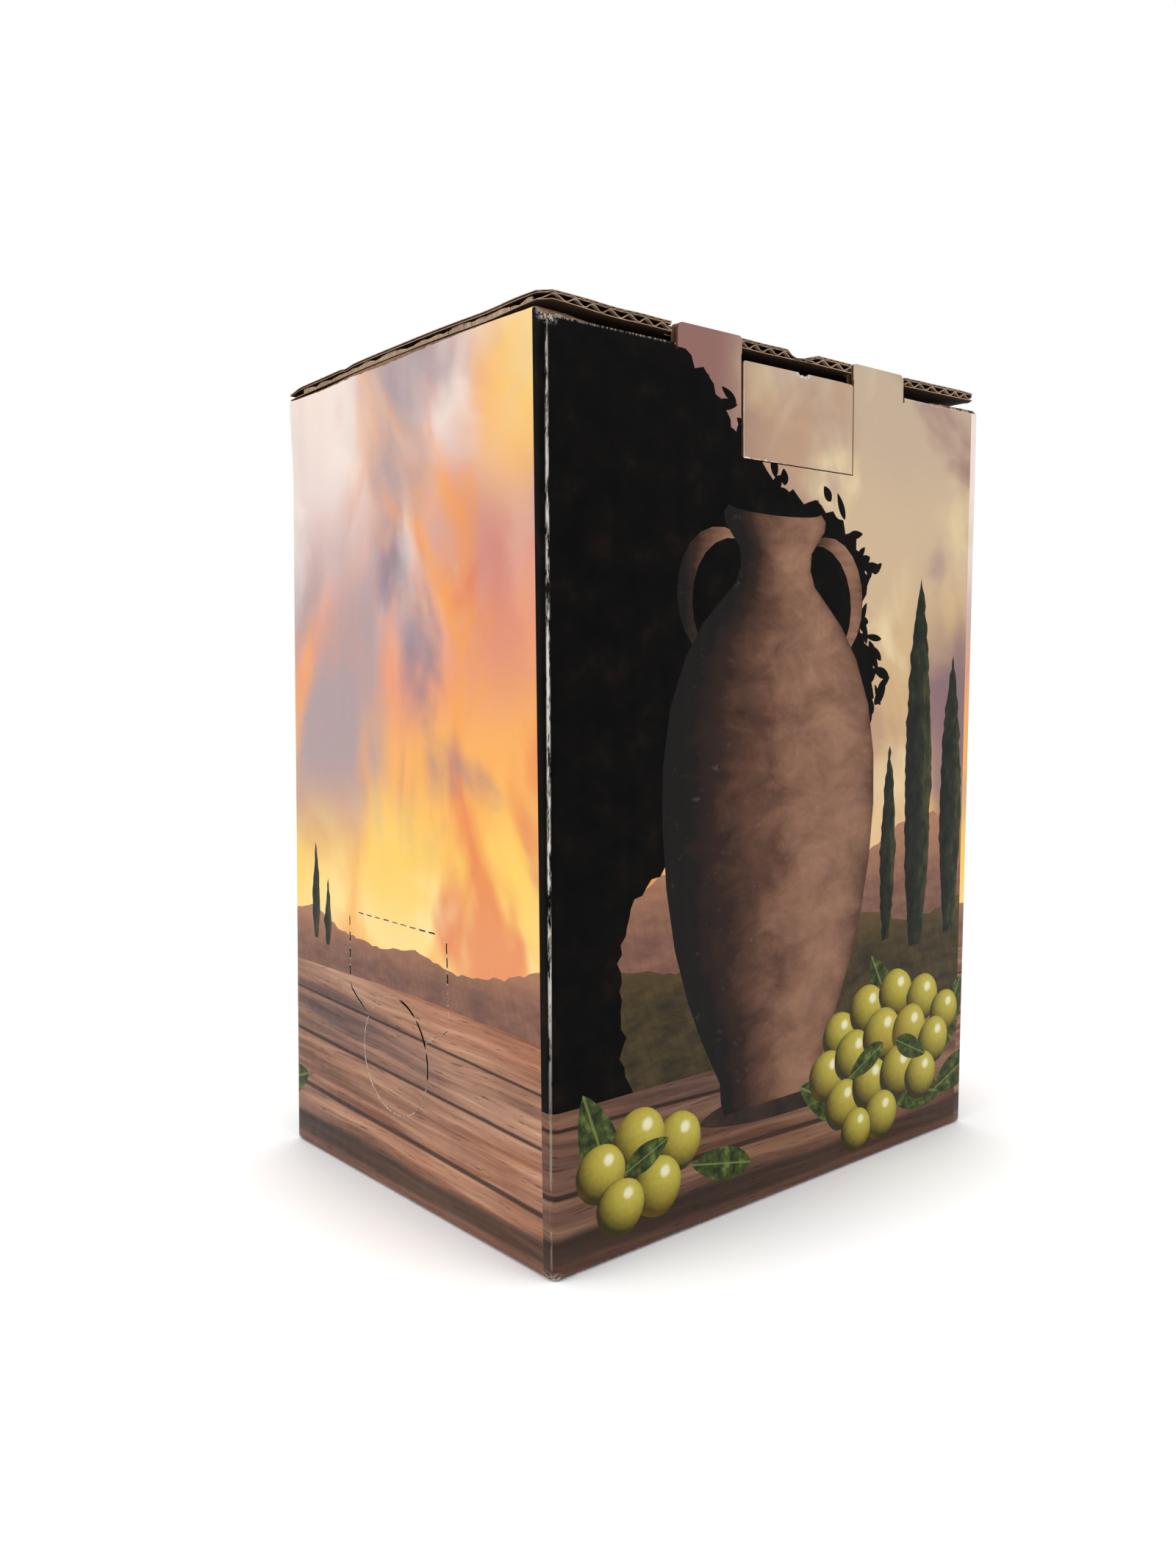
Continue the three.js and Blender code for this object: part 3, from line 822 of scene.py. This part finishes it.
def blade(cx, cz, length, wide, degrees):
    """Leaf outline and its own axes."""
    turn = math.radians(degrees)
    ring = []
    for i in range(14):
        u = -1 + 2 * i / 13
        ring.append((u, (1 - u * u) ** 0.8 * (1.1 - 0.25 * u)))
    ring += [(u, -v) for u, v in ring[-2:0:-1]]
    along, across = (math.cos(turn), math.sin(turn)), (-math.sin(turn), math.cos(turn))
    poly = []
    for u, v in ring:
        x, y = u * length / 2, v * wide / 2
        poly.append((cx + x * along[0] + y * across[0], cz + x * along[1] + y * across[1]))

    def form(s, z):
        x, y = (s - cx) * 2, (z - cz) * 2
        return ((x * along[0] + y * along[1]) / length, (x * across[0] + y * across[1]) / wide)

    return poly[::-1], form


JAR = [
    (30, 21), (34, 22.5), (40, 23), (52, 29.5), (66, 36), (82, 41.5), (100, 45), (118, 46.5), (134, 46),
    (150, 43), (164, 37), (174, 30), (181, 22.5), (186, 17), (191, 15), (196, 15.5), (200, 19), (203, 21.5),
    (206, 22), (208, 20),
]


def jar_radius(z):
    for (z0, r0), (z1, r1) in zip(JAR, JAR[1:]):
        if z <= z1:
            k = max(0.0, (z - z0) / (z1 - z0))
            return r0 + (r1 - r0) * k
    return JAR[-1][1]


def handle(cx, side):
    """Bent grip of the jar from its neck to its shoulder."""
    outer, inner = [], []
    for i in range(13):
        k = i / 12
        angle = math.pi * (0.62 - 1.08 * k)
        ox, oz = 17 + 20 * math.cos(angle * 0.9), 181 + 19 * math.sin(angle)
        outer.append((cx + side * (ox + 3.2), oz + 1.5))
        inner.append((cx + side * (ox - 2.6), oz - 1.5 + 1.5 * k))
    return outer + inner[::-1]


def land(line, base, left, right, s0, mat, *rough):
    """Hills under a ridge line, from side to side of a panel."""
    ridge = [(s0 + t, z) for t, z in line]
    ridge[0], ridge[-1] = (left, ridge[0][1]), (right, ridge[-1][1])
    return Field([(left, base), (right, base)] + rough_line(ridge, *rough, False)[::-1], mat, s0)


def wide_print(s0):
    """Still life on the planks in front of hills and sky; s0 is the panel's middle."""
    left, right = s0 - HD - WRAP, s0 + HD - WRAP
    fields = [Field([(left, 0), (right, 0), (right, 256), (left, 256)], "sky_wide", s0)]

    def put(poly, mat, form=None):
        fields.append(Field(poly, mat, s0, form))

    def leaves(*rows):
        for t, z, *axes in rows:
            poly, form = blade(s0 + t, z, *axes)
            put(poly, "leaf", form)

    line = [(-98, 101), (-70, 99), (-52, 104), (-30, 108), (-8, 104),
            (14, 97), (34, 101), (52, 110), (72, 113), (90, 107)]
    fields.append(land(line, 30, left, right, s0, "far_hill", 3, 1.6, 2.0))
    line = [(-98, 84), (-60, 78), (-36, 74), (-10, 79), (18, 86), (40, 82), (60, 76), (90, 82)]
    fields.append(land(line, 30, left, right, s0, "near_hill", 2.2, 1.3, 5.0))
    climb = [i / 10 for i in range(11)]
    for t, foot, crown, wide in ((47, 72, 136, 8), (63, 68, 192, 15), (82, 70, 166, 12.5)):
        spire = [(t - wide * 0.22, foot), (t + wide * 0.22, foot)]
        for side, way in ((1, climb), (-1, climb[::-1])):
            for k in way:
                out = wide / 2 * math.sin(math.pi * min(1, 0.12 + k * 0.9)) ** 0.7
                spire.append((t + side * out, foot + 3 + (crown - foot - 3) * k))
        put(rough_line([(s0 + a, b) for a, b in spire], 2.2, 1.0, t), "cypress")
    # dark tree at the left, its crown behind the jar
    tree = [(-98, 30), (-60, 38), (-68, 50), (-70, 74), (-66, 96), (-52, 108), (20, 112), (33, 124),
            (28, 140), (38, 152), (36, 168), (28, 176), (36, 190), (27, 204), (12, 211), (-4, 213),
            (-14, 221), (-27, 229), (-36, 243), (-50, 250), (-58, 257), (-98, 257)]
    tree = [(max(s0 + t, left), z) for t, z in tree]
    edge = rough_line(tree[1:-1], 2.6, 3.0, 9.0, False)
    put([tree[0]] + edge + [tree[-1]], "dark")
    for _ in range(52):
        spot = 7 + rng.random() * 12.99
        a, b = tree[int(spot)], tree[int(spot) + 1]
        at = Vector(a).lerp(Vector(b), rng.random())
        size = rng.uniform(5, 9), rng.uniform(2, 3.4)
        poly, form = blade(at.x + rng.uniform(-2, 6), at.y + rng.uniform(-3, 5), *size, rng.uniform(0, 180))
        put(poly, "dark", form)
    # planks
    put([(left, 0), (right, 0), (right, 43), (s0 + 20, 44.5), (left, 45)], "planks_wide")
    # jar, its shade on the planks and its handles
    cx = s0 - 8
    put(disc(cx + 14, 30, 44, 5.5, 30, 0.1, 1.0), "shade")
    for side in (-1, 1):
        put(handle(cx, side), "clay")
    body = [(cx + r, z) for z, r in JAR] + [(cx - r, z) for z, r in reversed(JAR)]
    put(body, "clay", lambda s, z: ((s - cx) / (jar_radius(z) + 0.01), (z - 30) / 178))
    put(disc(cx, 208, 19.5, 1.7, 26), "dark")
    # round fruit and leaves at the right and left of the foot
    leaves((20, 24, 34, 13, 155), (84, 40, 30, 12, 62), (66, 17, 32, 12, -12), (90, 20, 28, 11, 20),
           (46, 56, 26, 10, 118), (-30, 16, 26, 9, 168), (-78, 34, 30, 12, 110))
    for t, z, radius in (
        (24, 44, 8), (38, 50, 8.5), (53, 53, 8.5), (68, 49, 8.5), (81, 42, 8), (18, 32, 8.5),
        (31, 36, 9), (46, 40, 9.5), (61, 39, 9), (75, 33, 8.5), (26, 21, 8.5), (40, 25, 9), (55, 26, 9.5),
        (68, 22, 8.5), (46, 13, 8.5), (33, 11, 7.5), (-48, 27, 9), (-63, 31, 9.5), (-77, 25, 8.5),
        (-56, 16, 9), (-70, 14, 8.5),
    ):
        put(disc(s0 + t, z, radius * 1.04, radius * 0.97, 30, 0.05, t), "fruit")
    leaves((38, 33, 20, 7, 205), (62, 33, 19, 7, -25), (-60, 26, 18, 7, 20))
    return fields


def narrow_print(s0):
    """Evening sky over hills and planks; s0 is the panel's middle."""
    left, right = s0 - HW - WRAP, s0 + HW - WRAP
    fields = [Field([(left, 0), (right, 0), (right, 256), (left, 256)], "sky_narrow", s0)]
    line = [(-76, 79), (-58, 83), (-38, 77), (-14, 75), (6, 78), (28, 74), (48, 77), (67, 82)]
    fields.append(land(line, 40, left, right, s0, "far_hill", 2.5, 1.2, 3.0))
    for t, foot, crown, wide in ((-55, 72, 104, 5.5), (-47, 71, 93, 5)):
        spire = [(t - wide * 0.2, foot), (t + wide * 0.2, foot), (t + wide / 2, foot + 8),
                 (t + wide * 0.4, crown - 12), (t, crown), (t - wide * 0.4, crown - 12),
                 (t - wide / 2, foot + 8)]
        fields.append(Field(rough_line([(s0 + a, b) for a, b in spire], 2, 0.7, t), "cypress", s0))
    fields.append(Field([(left, 0), (right, 0), (right, 62.5), (s0, 64), (left, 63)], "planks", s0))
    return fields


# Cuts of the tap door on the narrow face
def cut_line(x0, z0, x1, z1, wide, frays):
    """Row of slits along a line, and the torn paper round each."""
    a, b = Vector((TAP + x0, z0)), Vector((TAP + x1, z1))
    length = (b - a).length
    count = max(1, round(length / 5.1))
    along = (b - a) / length
    side = Vector((-along.y, along.x))
    slits, rims = [], []
    for i in range(count):
        middle = (i + 0.5 + 0.12 * (rng.random() - 0.5)) * length / count
        half = 1.8 + 0.25 * (rng.random() - 0.5)
        opening = wide / 2 * rng.uniform(0.7, 1.25)
        bow = rng.uniform(-0.12, 0.12)
        shape = [(-half, 0), (-half * 0.7, -opening), (0, -opening + bow), (half * 0.7, -opening),
                 (half, 0), (half * 0.7, opening), (0, opening + bow), (-half * 0.7, opening)]
        slits.append([tuple(a + along * (middle + u) + side * v) for u, v in shape])
        fray = rng.choice(frays)
        ring = []
        for k in range(16):
            angle = 2 * math.pi * k / 16
            reach = half + 0.1 + fray * 1.6 * rng.random()
            swell = opening + 0.04 + fray * rng.random() ** 1.5
            rise = math.copysign(abs(math.sin(angle)) ** 0.6, math.sin(angle))
            ring.append(tuple(a + along * (middle + reach * math.cos(angle)) + side * swell * rise))
        rims.append(Field(ring, "rim", TAP))
    return slits, rims


def cut_path(points, half, rim):
    """Long open cut along a bent line, thin at its ends, and its torn paper."""
    upper, lower, far, close = [], [], [], []
    last = len(points) - 1
    for i, (x, z) in enumerate(points):
        (x0, z0), (x1, z1) = points[max(0, i - 1)], points[min(last, i + 1)]
        run = math.hypot(x1 - x0, z1 - z0)
        nx, nz = (z0 - z1) / run, (x1 - x0) / run
        open_half = half if 0 < i < last else half * 0.35
        for ring, offset in (
            (upper, open_half), (lower, -open_half),
            (far, open_half + rim * rng.uniform(0.3, 1.0)),
            (close, -open_half - rim * rng.uniform(0.3, 1.0)),
        ):
            ring.append((TAP + x + nx * offset, z + nz * offset))
    return upper + lower[::-1], Field(far + close[::-1], "rim", TAP)


def cut_arc(start, end, wide, rim):
    """Curved slit of the disc and its torn paper, between two angles in degrees."""
    steps = max(4, int((end - start) / 4))
    outer, inner, far, close = [], [], [], []
    for i in range(steps + 1):
        k = i / steps
        angle = math.radians(start + (end - start) * k)
        taper = min(1.0, 6 * k + 0.15, 6 * (1 - k) + 0.15)
        half = wide / 2 * taper * rng.uniform(0.8, 1.15)
        for ring, offset in (
            (outer, half), (inner, -half),
            (far, half + rim * rng.uniform(0.15, 1.0)), (close, -half - rim * rng.uniform(0.15, 0.8)),
        ):
            r = DISC_R + offset
            ring.append((TAP + DISC_X + r * math.cos(angle), DISC_Z + r * math.sin(angle)))
    return outer + inner[::-1], Field(far + close[::-1], "rim", TAP)


def wall(s, z, d):
    """Point of the walls: s along the four walls, z up, d in from the print."""
    s = min(max(s, 0.0), CORNERS[-1])
    panel = sum(s >= corner for corner in CORNERS[1:4])
    middle, half, away, normal, along = (
        (REAR, HD, HW, (-1, 0), (0, -1)), (TAP, HW, HD, (0, -1), (1, 0)),
        (FRONT, HD, HW, (1, 0), (0, 1)), (FAR, HW, HD, (0, 1), (-1, 0)),
    )[panel]
    t = s - middle
    inset = 0.0
    if z < FOLD:
        angle = math.pi / 2 * (1 - z / FOLD)
        inset = FOLD * (1 - math.cos(angle))
        z = FOLD - FOLD * math.sin(angle)
    if panel in (1, 3) and z > H - FOLD:
        angle = math.pi / 2 * (1 - (H - z) / FOLD)
        inset = max(inset, FOLD * (1 - math.cos(angle)))
        z = H - FOLD + FOLD * math.sin(angle)
    if panel == 2 and FLAP_FOOT - 4 < z < FLAP_FOOT + 0.02 and FLAP_L - 0.02 < t < FLAP_R + 0.02:
        z -= CREASE * d * (z - FLAP_FOOT + 4) / 4
    d = max(d, inset)
    edge = half - abs(t)
    sign = 1 if t > 0 else -1
    out = away - d
    if d >= CORNER:
        t = sign * min(abs(t), half - d)
    elif edge < CORNER:
        angle = math.pi / 4 * (1 - edge / CORNER)
        out = away - CORNER + (CORNER - d) * math.cos(angle)
        t = sign * (half - CORNER + (CORNER - d) * math.sin(angle))
    return (normal[0] * out + along[0] * t, normal[1] * out + along[1] * t, z)


def make_walls(build):
    total, turns = CORNERS[-1], (0.7, 1.45, 2.2, 2.8)
    bends = [*turns, *(total - k for k in turns)]
    for corner in CORNERS[1:4]:
        bends += [corner, *(corner + k for k in turns), *(corner - k for k in turns)]
    left, right = FRONT + FLAP_L, FRONT + FLAP_R
    tab = [
        (TAB_W + 0.7, H), (TAB_W + 0.7, H - 1.6), (TAB_W, H - 1.6), (TAB_W, TAB_TOP - 1.6),
        (TAB_W - 0.5, TAB_TOP - 0.5), (TAB_W - 1.6, TAB_TOP), (0.8, TAB_TOP), (-0.1, TAB_TOP - 0.35),
        (-0.35, TAB_TOP - 1.0), (-0.25, H + 1.2), (0, H + 0.6), (0, FLAP_FOOT),
    ]
    top = [(total, 0), (total, H), *((right + x, z) for x, z in tab),
           *((left - x, z) for x, z in reversed(tab)), (0, H), (0, 0)]
    fields = narrow_print(FAR) + narrow_print(TAP) + wide_print(FRONT) + wide_print(REAR)
    around = REAR + total
    for low, high, mat in ((36, H, "dark"), (0, 36, "planks_wide")):
        strip = [(total - WRAP, low), (total, low), (total, high), (total - WRAP, high)]
        fields.append(Field(strip, mat, around))
    ragged = []
    for x in range(-68, 66, 2):
        fray = 0.5 + 0.9 * share(abs(x + 8), 62.0, 0.0) + 0.22 * noise.noise((x / 3.0, 0.0, 5.0))
        ragged.append((TAP + x, H - fray))
    fields.append(Field([(TAP - 68, H + 1), *ragged, (TAP + 65, H + 1)], "cut", TAP))
    holes = []
    end = (DISC_X + DISC_R * math.cos(math.radians(24)), DISC_Z + DISC_R * math.sin(math.radians(24)))
    for line in (
        (DOOR_L + 4.6, DOOR_TOP, DOOR_R - 5.0, DOOR_TOP, 0.34, (0.02, 0.05, 0.12)),
        (DOOR_L, 62.2, DOOR_L, DOOR_TOP - 0.4, 0.65, (0.04, 0.06)),
        (DOOR_R, 70, DOOR_R, DOOR_TOP - 0.8, 0.6, (0.05, 0.1, 0.4)),
        (DOOR_R, 58, DOOR_R, 69.5, 0.22, (0.15, 0.25)),
        (DOOR_R, 57.2, end[0] + 0.8, end[1] + 0.6, 0.16, (0.12, 0.2)),
    ):
        slits, rims = cut_line(*line)
        holes += slits
        fields += rims
    knee = [(DOOR_L, 61.6), (DOOR_L + 1.1, 59.4), (DOOR_L + 3.7, 57.5), (DOOR_L + 7.6, 55.0),
            (DISC_X - 16.4, DISC_Z + 10.2)]
    cuts = [cut_path(knee, 0.36, 0.1)]
    for arc in (
        (-12, 17, 0.75, 0.06), (19, 49, 0.95, 0.05), (51, 82, 0.8, 0.06), (87, 138, 0.12, 0.2),
        (149, 205, 0.1, 0.24), (209, 261, 0.1, 0.26), (265, 305, 0.12, 0.24), (309, 345, 0.2, 0.2),
    ):
        cuts.append(cut_arc(*arc))
    for slit, field in cuts:
        holes.append(slit)
        fields.append(field)

    def is_open(s, z):
        return CORNERS[2] + 3 < s < CORNERS[3] - 3 and z > FLAP_FOOT + 0.5

    # edges of the tap door's cuts get the near-black slit paper, a painted shade inside the cuts; other edges
    # show cut kraft
    def side_paper(s, z):
        return "slit" if CORNERS[1] + 5 < s < CORNERS[2] - 5 and 5 < z < 100 else "cut"

    rows = [0.3, 0.7, 1.1, 248.9, 249.3, 249.7]
    sheet(build, top, holes, fields, wall, bends, rows, (108, 42), is_open,
          edge=side_paper, joined=(0.0, total))
    spans = [(CORNERS[2] + 4, left - TAB_W - 1.2, H), (right + TAB_W + 1.2, CORNERS[3] - 4, H),
             (left - TAB_W + 1.5, left - 1.2, TAB_TOP), (right + 1.2, right + TAB_W - 1.5, TAB_TOP)]
    for start, stop, crest in spans:
        def place(t, into, height, crest=crest):
            return wall(t, crest - into, BOARD - height)
        flutes(build, place, start, stop, STUBS, (0.4, 1.1))


def make_carton():
    build = Build()
    make_walls(build)
    inner_x, inner_y = HW - BOARD, HD - BOARD
    for side in (-1, 1):
        a, b = sorted((side * 0.3, side * inner_x))
        slab(build, a, b, -inner_y + 0.25, inner_y - 0.25, 0.0, BOARD, (4, 10))
        a, b = sorted((side * 27.5, side * (inner_y - 0.02)))
        slab(build, -inner_x + 0.4, inner_x - 0.4, a, b, BOARD, 2 * BOARD, (8, 4))
        free, fold = side * 33.5, side * (HD - 1.15)
        tuck = side * (33.5 + 3.2)
        a, b = sorted((tuck, fold))
        slab(build, -66.3, 66.3, a, b, H - BOARD, H + 0.03, (10, 6))
        a, b = sorted((free, tuck))
        for low, high in ((0.0, COARSE[0]), (COARSE[1], FINE[0]), (FINE[1], BOARD)):
            high += 0.03 if high == BOARD else 0
            slab(build, -66.3, 66.3, a, b, H - BOARD + low, H - BOARD + high, (10, 1))

        def place(t, into, height, free=free, side=side):
            return (t * side, free + side * into, H - BOARD + height)
        flutes(build, place, -66.0, 66.0, (0.06, 0.9, 3.19), (2.0 + side, 1.0 + side))
    # glued seam flap inside the rear wall
    ring = [(58.9, 16.4), (90.65, 8.4), (90.65, 241.6), (58.9, 233.6)]
    back_face, front_face = ([build.vert(x, y, z) for y, z in ring] for x in (-67.65, -64.9))
    build.face(front_face, "kraft")
    build.face(back_face[::-1], "kraft")
    for i in range(4):
        j = (i + 1) % 4
        build.face([back_face[i], back_face[j], front_face[j], front_face[i]], "cut")
    return build.piece("board_carton", "carton", "carton")


def make_flap():
    build = Build()
    left, right = FRONT + FLAP_L + 0.95, FRONT + FLAP_R - 0.4
    foot, top = FLAP_FOOT + 0.34, H - 0.6
    nick = FRONT + 3.4
    outline = [
        (left, foot), (right, foot), (right, top - 0.4), (right - 0.5, top), (nick + 2.3, top),
        (nick + 1.7, top - 0.5), (nick + 0.6, top - 0.9), (nick - 0.5, top - 0.55),
        (nick - 1.4, top - 0.8), (nick - 2.2, top), (left + 0.6, top), (left, top - 0.5),
    ]

    def place(s, z, d):
        if abs(z - foot) < 0.02:
            z += (CREASE + 0.17) * d
        return (HW - d, s - FRONT, z)

    fields = wide_print(FRONT)[:1]
    rims = [
        [(nick - 3.2, top + 0.3), (nick - 2.7, top - 1.1), (nick - 1.2, top - 1.5),
         (nick + 0.4, top - 1.35), (nick + 1.6, top - 1.7), (nick + 2.9, top - 0.9), (nick + 3.3, top + 0.3)],
        [(left - 1, foot), (left + 0.22, foot), (left + 0.16, foot + 9), (left + 0.3, foot + 17),
         (left + 0.2, top), (left - 1, top)],
    ]
    for start, stop, rise in (
        (0.0, 3.1, 0.5), (3.6, 7.4, 0.3), (8.3, 10.2, 0.45), (11.0, 14.8, 0.25), (16.5, 18.1, 0.2),
    ):
        rims.append([
            (left + start, foot - 1), (left + stop, foot - 1), (left + stop - 0.3, foot + rise * 0.5),
            (left + (start + stop) / 2, foot + rise), (left + start + 0.2, foot + rise * 0.7),
        ])
    fields += [Field(rim, "rim", FRONT) for rim in rims]

    def is_open(s, z):
        return z > foot + 0.3

    sheet(build, outline, [], fields, place, [], [], (9, 6), is_open)

    def crest(t, into, height):
        return (HW - BOARD + height, t, top - into)
    for start, stop in ((FLAP_L + 1.6, 2.0), (7.2, FLAP_R - 1.6)):
        flutes(build, crest, start, stop, STUBS, (0.2, 0.7))
    return build.piece("board_hand_flap", "hand_flap", "hand_flap")


# Lid: local x from the hinge, y along it, height from the underside
LID_HALF, LID_REACH = 92.6, 140.6
LID_CUT = 2.7
NOTCHES = [(-49.3, -22.4), (26.2, 53.1)]
TILT = math.radians(1.06)


def lid_point(x, y, height):
    height *= (1.9 + 0.9 * share(x, 1.4, 7.0)) / BOARD
    height *= 1 - 0.16 * smooth(share(math.hypot(x - LID_REACH, y + LID_HALF), 17.0, 0.0))
    height *= 1 - 0.22 * share(math.hypot(x - LID_REACH, y - LID_HALF), 9.0, 0.0)
    dip = min(1.0, 1.6 * max(0.0, 1 - (abs(y - 3.2) / 6.2) ** 2)) * max(0.0, 1 - (LID_REACH - x) / 9.0)
    dip *= 1 + 0.35 * noise.noise((x / 2.0, y / 1.6, 2.0))
    height *= 1 - 0.66 * dip
    height *= 1 - 0.2 * share(abs(x - 37.0), 4.0, 0.0) * max(0.0, 1 - (y + LID_HALF) / 5.0)
    lift = 0.28 * noise.noise((x / 45.0, y / 26.0, 4.0)) * min(1.0, x / 60.0)
    lift += 0.10 * noise.noise((x / 12.0, y / 7.0, 9.0)) * max(0.0, (x - 110.0) / 30.0)
    lift += 0.7 * share(y, 55.0, 92.0) ** 2 * share(x, 40.0, 140.0)
    lift += 1.5 * math.sin(math.pi * share(x, 0.0, LID_REACH)) * (0.6 - 0.4 * y / LID_HALF)
    lift += 1.15 * smooth(share(math.hypot((x - LID_REACH) / 30.0, (y + LID_HALF) / 27.0), 1.0, 0.0))
    z = height + lift
    c, s = math.cos(TILT), math.sin(TILT)
    return (-HW + x * c - z * s, y, H + 0.3 + x * s + z * c)


def lid_end(y):
    """How far the lid reaches at y: its corners are clipped and the tabs have notches."""
    for low, high in NOTCHES:
        if low < y < high:
            return LID_REACH - 4.0
    clip = max(0.0, abs(y) - (LID_HALF - LID_CUT)) / LID_CUT
    return LID_REACH - 3.4 * clip


def make_lid():
    build = Build()
    (a0, a1), (b0, b1) = NOTCHES
    back = LID_REACH - 4.0
    outline = [
        (0.3, -LID_HALF), (LID_REACH - 3.4, -LID_HALF), (LID_REACH, -LID_HALF + LID_CUT), (LID_REACH, a0),
        (back, a0 + 0.4), (back, a1 - 0.4), (LID_REACH, a1), (LID_REACH, b0), (back, b0 + 0.4),
        (back, b1 - 0.4), (LID_REACH, b1), (LID_REACH, LID_HALF - LID_CUT), (LID_REACH - 3.4, LID_HALF),
        (0.3, LID_HALF),
    ]

    def place(x, y, d):
        return lid_point(x, y, BOARD - d)

    whole = [(-1, -100), (150, -100), (150, 100), (-1, 100)]
    # liner faces that look into the flute hollows get the near-black slit paper, painted shade of the
    # hollows; the underside gets the darkened kraft, painted shade under the lid
    for low, high, face, under in (
        (FINE[1], BOARD, "lid_print", "slit"),
        (COARSE[1], FINE[0], "slit", "slit"),
        (0.0, COARSE[0], "slit", "lid_under"),
    ):
        sheet(build, outline, [], [Field(whole, face)], place, [], [], (28, 56), None,
              depths=(BOARD - high, BOARD - low), back=under, edge="lid_edge", grain=2.0)

    ends = (-LID_HALF + 0.4, a0, a1, b0, b1, LID_HALF - 0.4)

    def laid(t, into, height):
        return lid_point(into, t, height)

    def reach(t):
        end = lid_end(t) - 0.06
        return (0.4, *range(8, 120, 8), end - 13, end - 8.5, end - 4.5, end - 1.3, end)
    for start, stop in zip(ends, ends[1:]):
        flutes(build, laid, start + 0.1, stop - 0.1, reach, (0.0, 0.6), (0.24, 0.16), 18)
    # sides of the outermost flutes, torn open in places
    for side in (-1, 1):
        for low, high in (COARSE, FINE):
            def tear(x, low=low, high=high, side=side):
                part = 0.74 + 0.75 * noise.noise((x / 7.0, side * 3.0, low))
                part += 0.2 * noise.noise((x / 1.7, low, 2.0))
                return low + (high - low) * min(1.0, max(0.3, part))

            for x in range(9, 134, 2):
                near_y = side * (LID_HALF - 0.45 - 0.5 * abs(noise.noise((x / 3.0, low, 8.0))))
                far_y = near_y - side * 0.3
                ring = [(x, near_y), (x + 2, near_y), (x + 2, far_y), (x, far_y)]
                feet = [build.vert(*lid_point(a, b, low)) for a, b in ring]
                tops = [build.vert(*lid_point(a, b, tear(a))) for a, b in ring]
                for i in range(4):
                    j = (i + 1) % 4
                    quad = [feet[i], feet[j], tops[j], tops[i]]
                    build.face(quad if side < 0 else quad[::-1], "medium")
                build.face(tops if side < 0 else tops[::-1], "medium")
    return build.piece("board_lid", "lid", "lid")


make_carton()
make_flap()
make_lid()


# Floor, light and backdrop
floor_mesh = bpy.data.meshes.new("floor")
floor_mesh.from_pydata([(-3, -3, 0), (3, -3, 0), (3, 3, 0), (-3, 3, 0)], [], [(0, 1, 2, 3)])
floor = bpy.data.objects.new("floor", floor_mesh)
floor.location.z = -0.0003
scene.collection.objects.link(floor)
p = Paint("floor", 0.9, 0.0)
p.put((0.93, 0.93, 0.93, 1.0), p.bsdf.inputs["Base Color"])
# the floor's camera-only glow fades where ambient occlusion closes in, painting a darker contact shadow round
# the box
contact_shadow_ao = p.add("AmbientOcclusion", samples=8)
p.put(0.07, contact_shadow_ao.inputs["Distance"])
glow, clear, both = (p.add(kind) for kind in ("Emission", "Emission", "AddShader"))
p.put(p.span(contact_shadow_ao.outputs["AO"], 0.45, 1.0, 0.0, 0.42, False), glow.inputs["Strength"])
p.put(0.0, clear.inputs["Strength"])
p.put(p.bsdf.outputs[0], both.inputs[0])
p.put(p.choose(p.watched(), clear.outputs[0], glow.outputs[0]), both.inputs[1])
below = p.add("NewGeometry").outputs["Backfacing"]
glass = p.add("BsdfTransparent").outputs[0]
p.put(p.choose(below, both.outputs[0], glass), p.out.inputs[0])
floor_mesh.materials.append(p.mat)

scene.world = bpy.data.worlds.new("studio")
scene.world.use_nodes = True
room = Nodes(scene.world.node_tree)
shades = []
for strength in (0.72, 1.0):
    node = room.add("Background")
    room.put((1, 1, 1, 1), node.inputs["Color"])
    room.put(strength, node.inputs["Strength"])
    shades.append(node.outputs[0])
room.put(room.choose(room.watched(), *shades), room.add("OutputWorld").inputs[0])


def soft_light(name, place, size, watts):
    data = bpy.data.lights.new(name, "AREA")
    data.shape = "RECTANGLE"
    data.size = data.size_y = size
    data.energy = watts
    lamp = bpy.data.objects.new(name, data)
    lamp.location = place
    lamp.rotation_euler = (Vector((0, 0, 0.11)) - Vector(place)).to_track_quat("-Z", "Y").to_euler()
    scene.collection.objects.link(lamp)


soft_light("key", (-0.25, -1.3, 1.25), 1.1, 9.0)
soft_light("fill", (1.4, 0.3, 1.1), 1.2, 7.0)

scene.view_settings.view_transform = "Standard"
